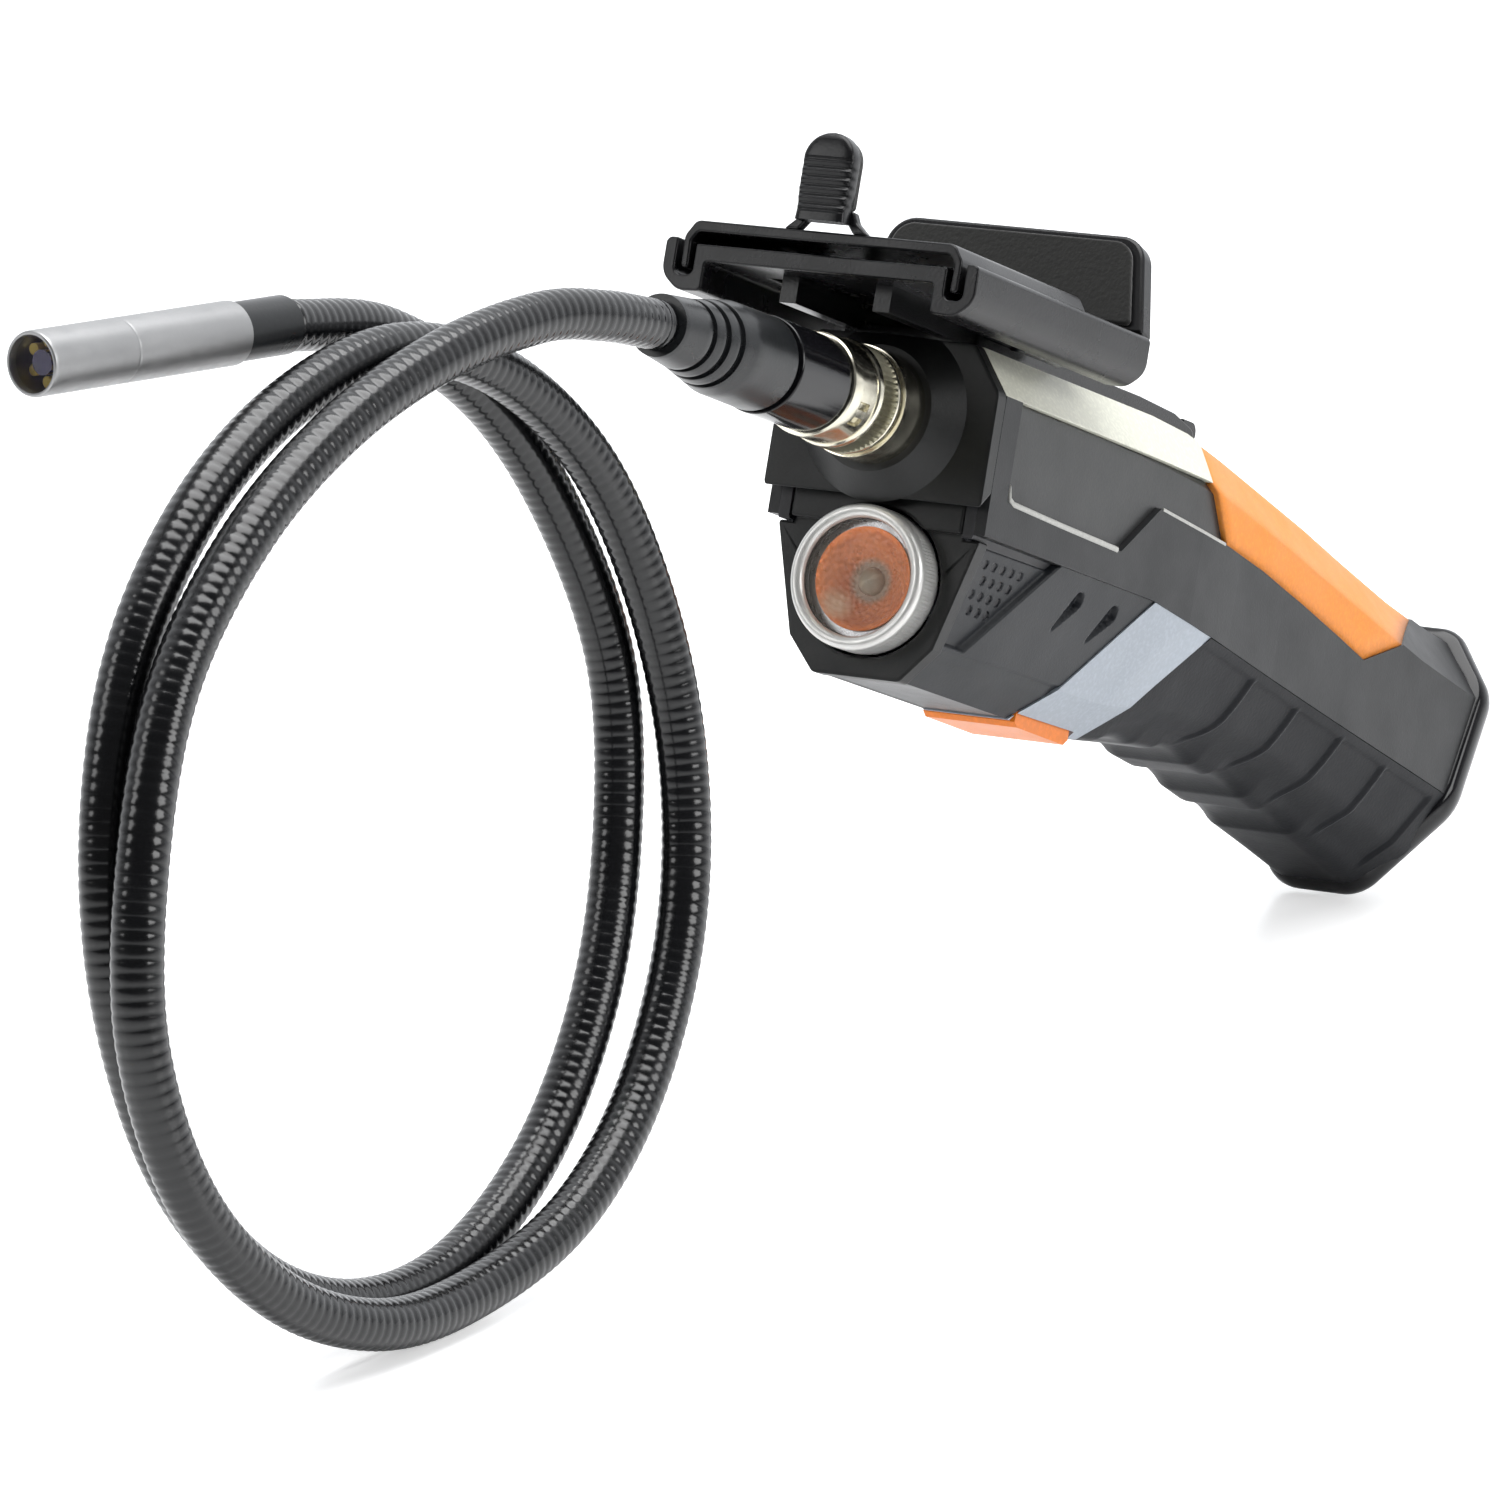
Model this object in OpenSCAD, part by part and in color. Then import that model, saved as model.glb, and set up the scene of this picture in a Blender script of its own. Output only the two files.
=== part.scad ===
// Inspection camera: a pistol-style handset with a work light, a sprung phone
// holder and a gooseneck that carries the camera head.
//
// The handset is drawn in its own frame: X forward along the connector, Y to
// its left, Z up, with the origin where the connector's axis meets the nose.
// place() then leans it back on its base edge, the way it stands on a bench.

/* [Stance] */
// Nose-up lean of the standing handset, degrees
stance = 19.4; // [18:0.2:21]
// Distance of the nose origin ahead of the part's origin
nose_x = 62.9; // [55:0.1:70]
// Height of the nose origin above the bench
nose_z = 116.2; // [110:0.1:122]

/* [Body] */
// Thickness of the outer covers over the housing
cover_t = 2; // [1.6:0.1:2.6]
// Wall of the two housing halves
wall_t = 2; // [1.6:0.1:2.4]
// How far the upper side panels sit back from the side bands
panel_step = 1.2; // [0.8:0.1:1.4]
// How far the vent panels sit back from the side bands
vent_step = 0.5; // [0.3:0.1:0.8]
// Tilt of the base plane from upright, degrees
base_tilt = 20.8; // [18:0.2:23]

/* [Connector] */
// Radius of the glossy plug sleeve
sleeve_r = 8; // [7.5:0.1:8.4]
// Radius of the coupling nut over its knurl
nut_r = 9; // [8.8:0.1:9.4]
// Radius of the bore in the coupling nut
nut_bore_r = 7.05; // [7.02:0.01:7.1]

/* [Work light] */
// Height of the light's axis below the connector's axis
light_drop = 27.2; // [26:0.1:28]
// Outer radius of the light's knurled bezel
bezel_r = 12; // [11.5:0.1:12.4]

/* [Phone holder] */
// Half width of the holder's rails
rail_y = 28.4; // [27:0.1:30]
// Length of the holder's rails
rail_len = 64.5; // [58:0.5:68]
// Height of the ridged claw
claw_h = 14.4; // [12:0.2:18]

/* [Gooseneck] */
// Diameter of the gooseneck
neck_d = 8; // [7.6:0.1:8.2]
// Radius of the camera barrel
barrel_r = 4.9; // [4.6:0.1:5.4]
// Length of the camera barrel
barrel_len = 44; // [40:1:48]

/* [Trigger] */
// Half width of the trigger
trigger_y = 8.6; // [7:0.1:9]

/* [Hidden] */

BLACK = [0.09, 0.09, 0.1];
SOFT_BLACK = [0.13, 0.13, 0.14];
DARK_GREY = [0.24, 0.25, 0.26];
BLUE_GREY = [0.17, 0.18, 0.2];
PALE_GREY = [0.72, 0.73, 0.72];
ORANGE = [0.95, 0.5, 0.1];
STEEL = [0.72, 0.73, 0.75];
NICKEL = [0.78, 0.75, 0.68];
BOARD_GREEN = [0.1, 0.35, 0.2];

$fn = 48;
eps = 0.01;
wide = 60; // half size of the blocks that trim the body

// ---------------------------------------------------------------- body shape
// Cross-sections: x, top, shoulder, seam, flank and belly heights, then the
// half widths of the sides, the top, the flank and the belly.
SECTIONS = [
    [2, 12.5, 5, -18, -37, -43, 20, 14.4, 13.4, 8],
    [-45, 12.5, 5, -18, -37, -43.5, 20, 14.4, 13.4, 8],
    [-68, 12.5, 4.5, -18.5, -37, -43.5, 20, 14.4, 13.6, 8],
    [-83, 12, 3.5, -20, -35.5, -42, 20, 14, 14, 8],
    [-100, 10.2, 1.5, -21.8, -33.5, -40, 19.6, 13, 14.5, 8],
    [-120, 7.6, -1.5, -24.2, -34, -41, 19.3, 12, 15, 8],
    [-140, 4.7, -5, -26.6, -36.5, -43.5, 19.3, 11.5, 15, 8],
    [-160, 1.4, -8.5, -29, -39.5, -46.8, 19.5, 11, 15, 8],
    [-180, -2, -12, -31.4, -42.5, -50.2, 19.8, 11, 15, 7.6],
    [-200, -4.6, -14.6, -33.8, -45.5, -54, 20, 11, 14.8, 7.4],
    [-225, -6.6, -16.6, -36, -49.5, -59.5, 20, 11, 14.8, 7.4]];

// One cross-section ring of the body, drawn in by a distance d
function ring(s, d) =
    let (half = [
        [s[7] - 0.55 * d, s[1] - d],
        [s[6] - d, s[2] - 0.35 * d],
        [s[6] - d, s[3]],
        [s[8] - d, s[4] + 0.35 * d],
        [s[9] - 0.5 * d, s[5] + d]])
    concat(
        [for (p = half) [s[0], -p[0], p[1]]],
        [for (i = [len(half) - 1:-1:0]) [s[0], half[i][0], half[i][1]]]);

// A closed solid through a list of rings with equal numbers of points
module loft(rings) {
    n = len(rings[0]);
    last = len(rings) - 1;
    points = [for (r = rings) each r];
    // the two halves are split along mirrored diagonals
    sides = [for (k = [0:last - 1], i = [0:n - 1])
        let (j = (i + 1) % n)
        each i < n / 2
            ? [[k * n + i, k * n + j, (k + 1) * n + i],
               [k * n + j, (k + 1) * n + j, (k + 1) * n + i]]
            : [[k * n + i, k * n + j, (k + 1) * n + j],
               [k * n + i, (k + 1) * n + j, (k + 1) * n + i]]];
    front = [for (i = [n - 1:-1:0]) i];
    back = [for (i = [0:n - 1]) last * n + i];
    polyhedron(points = points, faces = concat(sides, [front], [back]), convexity = 6);
}

module body_form(d) {
    loft([for (s = SECTIONS) ring(s, d)]);
}

BASE_TOP = [-213.7, -4.7];  // x and z of the base plane's upper edge
base_len = 52.7;            // along the plane to its lower edge

// Puts children on the base plane: X outward, Y across, Z up the plane from its top edge
module on_base() {
    translate([BASE_TOP[0], 0, BASE_TOP[1]])
        rotate([0, -base_tilt, 0])
            mirror([1, 0, 0])
                children();
}

// Everything outward of the base plane moved in by a distance
module behind_base(inset) {
    on_base()
        translate([-inset, -wide, -2 * wide])
            cube([2 * wide, 2 * wide, 4 * wide]);
}

// The space above an X-Z outline, from the centre plane out to one side
module side_prism(outline, y0 = 0, y1 = wide) {
    translate([0, y1, 0])
        rotate([90, 0, 0])
            linear_extrude(height = y1 - y0)
                polygon(outline);
}

// A cover: the layer of the body between two depths, inside an outline
module cover(outline, d0, d1, y0, y1) {
    intersection() {
        difference() {
            body_form(d0);
            body_form(d1);
            behind_base(4);
        }
        side_prism(outline, y0, y1);
    }
}

module place() {
    translate([nose_x, 0, nose_z])
        rotate([0, -stance, 0])
            children();
}

// Turns Z-up rotate shapes so that they run forward along X
module along_x(x = 0, z = 0) {
    translate([x, 0, z])
        rotate([0, 90, 0])
            children();
}

module ring_x(x0, x1, r_out, r_in, z = 0) {
    along_x(x0, z)
        difference() {
            cylinder(h = x1 - x0, r = r_out);
            translate([0, 0, -1])
                cylinder(h = x1 - x0 + 2, r = r_in);
        }
}

// ---------------------------------------------------------------- seam lines
front_x = -3;           // the covers start here, behind the nose
skirt_x = -8;           // and here, below the connector
far_x = -230;
high = 30;
low = -70;
SHOULDER = [[front_x, 5], [-85.5, 4.4]];
PANEL_TOP = [-9, 5 - 0.6 * (-9 - front_x) / (-85.5 - front_x)];
BAND_STEP = [[-9, -11.5], [-53, -12.5], [-65.5, -3.2]];
INSERT_EDGE = [[-94, -5.1], [-110, -7], [-128, -10], [-144, -13], [-156, -15.5]];
INSERT_TAIL = [[-192, -3.5], [-197, high]];
SEAM = [[front_x, -18], [-68, -18.5], [-83, -20], [-93, -21], [-120, -24.2], [-160, -29],
    [-200, -33.8], [far_x, -36.4]];
STRIPE_FRONT = [[-69.3, -18.63], [-45.5, -43]];
STRIPE_REAR = [[-93, -21], [-71.5, -43.2]];

function reversed(v) = [for (i = [len(v) - 1:-1:0]) v[i]];

band_outline = concat(
    [[front_x, 5], PANEL_TOP], BAND_STEP, INSERT_EDGE, INSERT_TAIL,
    [[far_x, high]], reversed(SEAM));
panel_outline = concat(
    [PANEL_TOP], BAND_STEP, [[-94, -5.1], [-85.5, 4.4]]);
deck_outline = concat(
    [[front_x, high]], SHOULDER, [[-90, 13.5], [-90, high]]);
insert_outline = concat(
    [[-90, high], [-90, 13.5], [-85.5, 4.4]], INSERT_EDGE, INSERT_TAIL);
vent_outline = [
    [skirt_x, -18 - 0.5 * (skirt_x - front_x) / (-68 - front_x)], [-68, -18.5], STRIPE_FRONT[0], STRIPE_FRONT[1], [-45.5, low],
    [skirt_x, low]];
stripe_outline = [
    STRIPE_FRONT[0], [-83, -20], STRIPE_REAR[0], STRIPE_REAR[1], [-71.5, low],
    [-45.5, low], STRIPE_FRONT[1]];
grip_outline = concat(
    [for (i = [3:len(SEAM) - 1]) SEAM[i]],
    [[far_x, low], [-71.5, low], STRIPE_REAR[1]]);

// ---------------------------------------------------------------- housing
// Housing screws: x, z and the length of the boss they run through
SCREW_SPOTS = [[-16, -11, 17], [-58, -14, 17], [-95.5, -3, 16], [-90, -27, 12]];
screw_r = 1.2;
boss_r = 3;
slot_x0 = -68.4;
slot_x1 = -46.2;
slot_y = trigger_y + 0.4;
pivot = [-49.5, -36.5];   // trigger pin, x and z
pin_r = 1.25;
spring_y = 5.8;

module trigger_slot() {
    translate([slot_x0, -slot_y, -60])
        cube([slot_x1 - slot_x0, 2 * slot_y, 60 - 36.5]);
}

module housing_half() {
    difference() {
        union() {
            intersection() {
                difference() {
                    body_form(cover_t);
                    body_form(cover_t + wall_t);
                    behind_base(4);
                    translate([front_x, -wide, -wide])
                        cube([wide, 2 * wide, 2 * wide]);
                    translate([skirt_x, -wide, -2 * wide - 18.6])
                        cube([wide, 2 * wide, 2 * wide]);
                }
                translate([-250, 0, -wide])
                    cube([260, wide, 2 * wide]);
            }
            intersection() {
                body_form(cover_t + 0.4);
                for (p = SCREW_SPOTS)
                    translate([p[0], 0, p[1]])
                        rotate([-90, 0, 0])
                            cylinder(h = 20, r = boss_r);
            }
            intersection() {
                body_form(cover_t + 0.4);
                union() {
                    translate([pivot[0], slot_y + 0.05, pivot[1]])
                        rotate([-90, 0, 0])
                            cylinder(h = 6, r = boss_r);
                    // ledges under the switch and the board
                    translate([-66, 4, -36])
                        cube([4, 14, 3]);
                    for (x = [-81, -41])
                        translate([x, 12, -11])
                            cube([4, 8, 2]);
                }
            }
        }
        for (p = SCREW_SPOTS)
            translate([p[0], 0, p[1]])
                rotate([-90, 0, 0]) {
                    translate([0, 0, -1])
                        cylinder(h = 40, r = screw_r);
                    translate([0, 0, p[2] - 2])
                        cylinder(h = 40, r = 2.5);
                }
        translate([pivot[0], 0, pivot[1]])
            rotate([-90, 0, 0])
                cylinder(h = 11.2, r = pin_r);
        trigger_slot();
        along_x(-40, -light_drop)
            cylinder(h = 60, r = 11.3);
        along_x(-40)
            cylinder(h = 60, r = 7.6);
    }
}

module left_housing() {
    color(DARK_GREY)
        place()
            housing_half();
}

module right_housing() {
    color(DARK_GREY)
        place()
            mirror([0, 1, 0])
                housing_half();
}

module housing_screws() {
    color(STEEL)
        place()
            for (p = SCREW_SPOTS)
                translate([p[0], -p[2] + 1, p[1]])
                    rotate([-90, 0, 0]) {
                        cylinder(h = 1, r = 2.4);
                        cylinder(h = 2 * p[2] - 4, r = screw_r);
                    }
}

// ---------------------------------------------------------------- nose
module nose_half_outline() {
    polygon([[0, 12.5], [14.4, 12.5], [20, 5], [20, -15], [18.2, -17], [14.6, -18.6],
        [13, -21], [0, -21]]);
}

module plug_half_outline() {
    polygon([[0, 8.4], [12, 8.4], [15.8, 3.4], [15.8, -18], [0, -18]]);
}

module lower_half_outline() {
    polygon([[0, -18.7], [18.6, -18.7], [13.2, -37.2], [8, -43], [0, -43]]);
}

// Extrudes a half outline in Y-Z, and its mirror image, from x0 to x1
module both_halves(x0, x1) {
    for (side = [0, 1])
        mirror([0, side, 0])
            translate([x0, 0, 0])
                rotate([90, 0, 90])
                    linear_extrude(height = x1 - x0)
                        children();
}

module nose_block() {
    color(BLACK)
        place()
            difference() {
                union() {
                    difference() {
                        both_halves(front_x, 0)
                            nose_half_outline();
                        // the face turns back below the connector
                        translate([0, 0, -14])
                            rotate([0, 40, 0])
                                translate([-wide, -wide, -wide])
                                    cube([2 * wide, 2 * wide, wide]);
                    }
                    both_halves(skirt_x, -4.5)
                        lower_half_outline();
                    both_halves(skirt_x, front_x)
                        plug_half_outline();
                    translate([skirt_x, -15.8, -19])
                        cube([3.5, 31.6, 2]);
                }
                along_x(-20, -light_drop)
                    cylinder(h = 40, r = bezel_r + 0.5);
                along_x(-20)
                    cylinder(h = 40, r = 7.6);
            }
}

module socket_collar() {
    color(SOFT_BLACK)
        place()
            difference() {
                along_x(0)
                    cylinder(h = 4, r1 = 14.8, r2 = 10.4);
                along_x(-1)
                    cylinder(h = 6, r = 7.6);
                translate([-1, -wide, 12.5])
                    cube([10, 2 * wide, wide]);
            }
}

// ---------------------------------------------------------------- covers
module side_band() {
    cover(band_outline, 0, cover_t, 0.02, wide);
}

module left_side_band() {
    color(DARK_GREY)
        place()
            side_band();
}

module right_side_band() {
    color(DARK_GREY)
        place()
            mirror([0, 1, 0])
                side_band();
}

module upper_panel() {
    cover(panel_outline, panel_step, cover_t, 1, wide);
}

module left_upper_panel() {
    color(DARK_GREY)
        place()
            upper_panel();
}

module right_upper_panel() {
    color(DARK_GREY)
        place()
            mirror([0, 1, 0])
                upper_panel();
}

VENT_ROWS = [5, 4, 4, 3];
vent_pitch = 4.1;
vent_r = 0.75;

module vent_panel() {
    difference() {
        cover(vent_outline, vent_step, cover_t, 0.02, wide);
        for (row = [0:len(VENT_ROWS) - 1], k = [0:VENT_ROWS[row] - 1])
            translate([-11 - vent_pitch * k + 0.9 * row, 8, -22.4 - 3.6 * row])
                rotate([-90, 0, 0])
                    cylinder(h = 20, r = vent_r);
        for (x = [-38.5, -51.5])
            translate([x, 8, -22.4])
                rotate([-90, 0, 0])
                    cylinder(h = 20, r = 1.3);
        trigger_slot();
    }
}

module left_vent_panel() {
    color(BLUE_GREY)
        place()
            vent_panel();
}

module right_vent_panel() {
    color(BLUE_GREY)
        place()
            mirror([0, 1, 0])
                vent_panel();
}

module top_deck() {
    color(PALE_GREY)
        place()
            cover(deck_outline, 0, cover_t, -wide, wide);
}

module back_insert() {
    color(ORANGE)
        place()
            cover(insert_outline, 0.3, cover_t, -wide, wide);
}

module belly_band() {
    color(PALE_GREY)
        place()
            difference() {
                cover(stripe_outline, 0.2, cover_t, -wide, wide);
                trigger_slot();
            }
}

FINGERS = [[-88, -56], [-109, -54.5], [-131, -56.5], [-153, -60]];
finger_r = 16;

module grip_sleeve() {
    color(SOFT_BLACK)
        place()
            difference() {
                cover(grip_outline, 0, cover_t, -wide, wide);
                trigger_slot();
                for (p = FINGERS)
                    translate([p[0], 0, p[1]])
                        rotate([90, 0, 0])
                            cylinder(h = 2 * wide, r = finger_r, center = true);
            }
}

// ---------------------------------------------------------------- base
// Outline of the base across Y and up the base plane
module base_outline(grow) {
    polygon([
        [11 + 0.6 * grow, grow], [20 + grow, -10.5], [20 + grow, -33.5],
        [7.6 + 0.5 * grow, 1 - base_len - grow], [-7.6 - 0.5 * grow, 1 - base_len - grow],
        [-20 - grow, -33.5], [-20 - grow, -10.5], [-11 - 0.6 * grow, grow]]);
}

// A plate on the base plane between two distances outward of it
module base_plate(x0, x1, grow) {
    on_base()
        translate([x0, 0, 0])
            rotate([90, 0, 90])
                linear_extrude(height = x1 - x0)
                    base_outline(grow);
}

module base_cap() {
    color(BLACK)
        place()
            difference() {
                union() {
                    base_plate(-4, 0.8, 1);
                    base_plate(0.8, 1.6, 0);
                }
                base_plate(-6, -1.6, -2);
                on_base()
                    for (y = [-12, 12])
                        translate([-8, y, -16])
                            rotate([0, 90, 0])
                                cylinder(h = 12, r = 1.3);
            }
}

module cap_gasket() {
    color(SOFT_BLACK)
        place()
            difference() {
                base_plate(-3.6, -1.6, -2.1);
                base_plate(-5, -1, -4.6);
            }
}

LOOP_UP = -39;     // height of the loop's feet up the base plane
loop_half = 8.5;
loop_reach = 8;
loop_r = 1.4;
loop_bend = 3;

module strap_loop() {
    color(SOFT_BLACK)
        place()
            on_base()
                translate([1.6, 0, LOOP_UP]) {
                    for (side = [-1, 1]) {
                        translate([0, side * loop_half, 0])
                            rotate([0, 90, 0])
                                cylinder(h = loop_reach - loop_bend, r = loop_r);
                        translate([loop_reach - loop_bend, side * (loop_half - loop_bend), 0])
                            rotate([0, 0, side > 0 ? 0 : -90])
                                rotate_extrude(angle = 90)
                                    translate([loop_bend, 0])
                                        circle(r = loop_r);
                    }
                    translate([loop_reach, 0, 0])
                        rotate([90, 0, 0])
                            cylinder(h = 2 * (loop_half - loop_bend), r = loop_r, center = true);
                }
}

module cap_screws() {
    color(STEEL)
        place()
            on_base()
                for (y = [-12, 12])
                    translate([-7, y, -16])
                        rotate([0, 90, 0]) {
                            cylinder(h = 8.6, r = 1.3);
                            translate([0, 0, 8.6])
                                cylinder(h = 1.2, r = 2.4);
                        }
}

// ---------------------------------------------------------------- trigger
module trigger() {
    color(ORANGE)
        place()
            difference() {
                union() {
                    side_prism([
                        [-52, -36], [-47.2, -36.5], [-46.8, -43.4], [-48, -44.2], [-66, -44.6],
                        [-67.4, -43.6], [-67.4, -40], [-56, -39.6]],
                        -trigger_y, trigger_y);
                    translate([pivot[0], 0, pivot[1]])
                        rotate([90, 0, 0])
                            cylinder(h = 2 * trigger_y, r = 2.7, center = true);
                }
                translate([pivot[0], 0, pivot[1]])
                    rotate([90, 0, 0])
                        cylinder(h = 4 * trigger_y, r = pin_r + 0.05, center = true);
                // pocket for the coil of the spring
                translate([pivot[0], spring_y, pivot[1]])
                    rotate([-90, 0, 0])
                        cylinder(h = 9, r = 3);
                translate([pivot[0] - 4, spring_y, pivot[1]])
                    cube([8, 9, 9]);
            }
}

module trigger_pin() {
    color(STEEL)
        place()
            translate([pivot[0], 0, pivot[1]])
                rotate([90, 0, 0])
                    cylinder(h = 21, r = pin_r, center = true);
}

module trigger_spring() {
    color(STEEL)
        place()
            translate([pivot[0], spring_y + 0.6, pivot[1]])
                rotate([-90, 0, 0])
                    for (k = [0:2])
                        translate([0, 0, 0.75 * k])
                            rotate_extrude()
                                translate([1.9, 0])
                                    circle(r = 0.34, $fn = 16);
}

module trigger_switch() {
    color(BLACK)
        place()
            translate([-70, -4, -38])
                cube([12, 8, 6.4]);
}

// ---------------------------------------------------------------- electronics
module main_board() {
    color(BOARD_GREEN)
        place()
            translate([-88, -13.5, -9])
                cube([56, 27, 1.6]);
}

module radio_module() {
    color(STEEL)
        place() {
            translate([-84, -9, -7.4])
                cube([18, 16, 2.6]);
            translate([-60, -8, -7.4])
                cube([9, 9, 1.4]);
            translate([-44, -6, -7.4])
                cube([8, 12, 5]);
        }
}

grip_tilt = 9;       // the cells lie along the grip
CELL_AT = [-137, -19];
cell_r = 7.1;
cell_len = 50;
cell_gap = 7.15;     // half the distance between cell axes

// Puts children on the grip's axis, X forward, at the cradle's front face
module in_grip() {
    translate([CELL_AT[0], 0, CELL_AT[1]])
        rotate([0, -grip_tilt, 0])
            children();
}

module cell_axes() {
    for (y = [-cell_gap, cell_gap], z = [-cell_gap, cell_gap])
        translate([0, y, z])
            rotate([0, -90, 0])
                children();
}

module battery_cradle() {
    color(BLACK)
        place()
            intersection() {
                body_form(cover_t + wall_t + 0.2);
                in_grip()
                    difference() {
                        translate([-53.5, -15.2, -15.2])
                            cube([55.5, 30.4, 30.4]);
                        translate([-52, -14.4, -14.4])
                            cube([52.5, 28.8, 50]);
                    }
            }
}

module battery_cells() {
    color(PALE_GREY)
        place()
            in_grip()
                translate([-0.4, 0, 0])
                    cell_axes() {
                        cylinder(h = cell_len - 1, r = cell_r);
                        translate([0, 0, cell_len - 1])
                            cylinder(h = 1, r = 2.8);
                    }
}

module battery_contacts() {
    color(NICKEL)
        place()
            in_grip()
                for (y = [-cell_gap, cell_gap], x = [-52, -0.3])
                    translate([x, y - 4, -12])
                        cube([0.6, 8, 24]);
}

// ---------------------------------------------------------------- work light
module light_body() {
    color(STEEL)
        place()
            difference() {
                union() {
                    ring_x(-38, -5.6, 11.2, 8.6, -light_drop);
                    ring_x(-5.6, -2.2, 11.12, 8.6, -light_drop);
                    ring_x(-38, -24, 9, 5, -light_drop);
                }
            }
}

module light_board() {
    color(PALE_GREY)
        place() {
            ring_x(-12, -10.4, 8.6, 1, -light_drop);
            along_x(-10.4, -light_drop)
                translate([-1.8, -1.8, 0])
                    cube([3.6, 3.6, 0.8]);
        }
}

module light_reflector() {
    color([0.85, 0.45, 0.25])
        place()
            along_x(-10.2, -light_drop)
                rotate_extrude()
                    polygon([[3, 0], [5.4, 2], [7.2, 5], [8.2, 8.6], [8.6, 8.6], [8.6, 7.4],
                        [7.9, 5], [6, 1.6], [4, 0]]);
}

module light_lens() {
    color([0.95, 0.9, 0.85, 0.5])
        place()
            along_x(-1.3, -light_drop)
                cylinder(h = 1.3, r = 11.2);
}

module light_seal() {
    color(BLACK)
        place()
            along_x(-1.75, -light_drop)
                rotate_extrude()
                    translate([10.1, 0])
                        circle(r = 0.45, $fn = 16);
}

module light_bezel() {
    color(STEEL)
        place()
            difference() {
                along_x(-5.4, -light_drop)
                    cylinder(h = 6.6, r = bezel_r);
                along_x(-6, -light_drop)
                    cylinder(h = 6, r = 11.2);
                along_x(-6, -light_drop)
                    cylinder(h = 10, r = 10.5);
            }
}

// ---------------------------------------------------------------- connector
socket_front = 20;   // where socket and plug meet inside the nut
nut_x0 = 11.4;
sleeve_x0 = 27.5;
sleeve_x1 = 44.3;
boot_x1 = 78.2;

module panel_socket() {
    color(NICKEL)
        place()
            difference() {
                union() {
                    along_x(-26)
                        cylinder(h = 26 + 4, r = 7.5);
                    along_x(4)
                        cylinder(h = 7, r = 9.3);
                    along_x(11)
                        cylinder(h = socket_front - 11, r = 7);
                }
                along_x(8)
                    cylinder(h = 20, r = 5.4);
            }
}

module coupling_nut() {
    color(NICKEL)
        place()
            difference() {
                union() {
                    along_x(nut_x0)
                        cylinder(h = 8, r = nut_r);
                    along_x(nut_x0 + 8)
                        cylinder(h = sleeve_x0 - nut_x0 - 8.2, r = 8.6);
                }
                along_x(nut_x0 - 1)
                    cylinder(h = 30, r = nut_bore_r);
            }
}

module plug_core() {
    color(NICKEL)
        place() {
            along_x(socket_front)
                cylinder(h = sleeve_x0 - socket_front, r = 7);
            along_x(sleeve_x0)
                cylinder(h = 30, r = 5);
            for (a = [0:60:300])
                rotate([a, 0, 0])
                    translate([0, 0, 3.4])
                        along_x(14)
                            cylinder(h = 7, r = 0.5, $fn = 16);
        }
}

module plug_sleeve() {
    color(BLACK)
        place()
            difference() {
                along_x(sleeve_x0)
                    cylinder(h = sleeve_x1 - sleeve_x0, r = sleeve_r);
                along_x(sleeve_x0 - 1)
                    cylinder(h = 30, r = 5.03);
            }
}

module plug_boot() {
    color(SOFT_BLACK)
        place()
            difference() {
                along_x(sleeve_x1)
                    rotate_extrude()
                        polygon([[0, 0], [7, 0], [7, 1.6], [7.8, 1.6], [7.7, 14], [7, 18],
                            [6.3, 18], [6.3, 19.4], [6.8, 19.4], [6.4, 21.6], [5.7, 21.6],
                            [5.7, 23], [6.2, 23], [5.8, 25.2], [5.1, 25.2], [5.1, 26.6],
                            [5.7, 26.6], [5, boot_x1 - sleeve_x1], [0, boot_x1 - sleeve_x1]]);
                along_x(sleeve_x1 - 1)
                    cylinder(h = sleeve_x0 + 31 - sleeve_x1, r = 5.03);
            }
}

// ---------------------------------------------------------------- gooseneck
// Route of the gooseneck's axis from the boot to the camera head
ROUTE = [
    [nose_x + boot_x1 * cos(stance), 0, nose_z + boot_x1 * sin(stance)], [152, -1, 146], [168, -3, 148], [193, -5, 146], [219, -7, 139],
    [243, -8, 127], [263, -8, 109], [275, -6, 86], [279, -4, 60], [271, -1, 35],
    [252, 2, 16], [228, 5, 6], [201, 6, 5], [175, 7, 11], [153, 6, 25], [137, 4, 47],
    [131, 1, 72], [134, -3, 98], [146, -7, 122], [167, -11, 139], [192, -14, 146],
    [219, -16, 142], [243, -17, 130], [261, -17, 111], [271, -15, 86], [272, -12, 60],
    [263, -9, 35], [245, -6, 16], [221, -4, 6], [195, -3, 6], [170, -3, 17],
    [151, -4, 36], [138, -7, 59], [134, -10, 86], [141, -15, 111], [157, -19, 132],
    [180, -23, 146], [206, -25, 151]];
neck_sides = 10;
neck_rings = 2;      // rings for each stretch between two points
head_turn = -8;      // the head points this far to the right, degrees
head_rise = 2.4;     // and this far up

function unit(v) = v / norm(v);

// A point on the smooth curve through four route points
function curve(a, b, c, d, t) = 0.5 * (2 * b + (c - a) * t
    + (2 * a - 5 * b + 4 * c - d) * t * t + (3 * b - a - 3 * c + d) * t * t * t);

function route_at(k, t) =
    let (n = len(ROUTE) - 1)
    curve(k > 0 ? ROUTE[k - 1] : 2 * ROUTE[0] - ROUTE[1], ROUTE[k], ROUTE[k + 1],
        k + 2 <= n ? ROUTE[k + 2] : 2 * ROUTE[n] - ROUTE[n - 1], t);

AXIS = concat(
    [for (k = [0:len(ROUTE) - 2], i = [0:neck_rings - 1]) route_at(k, i / neck_rings)],
    [ROUTE[len(ROUTE) - 1]]);

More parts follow.
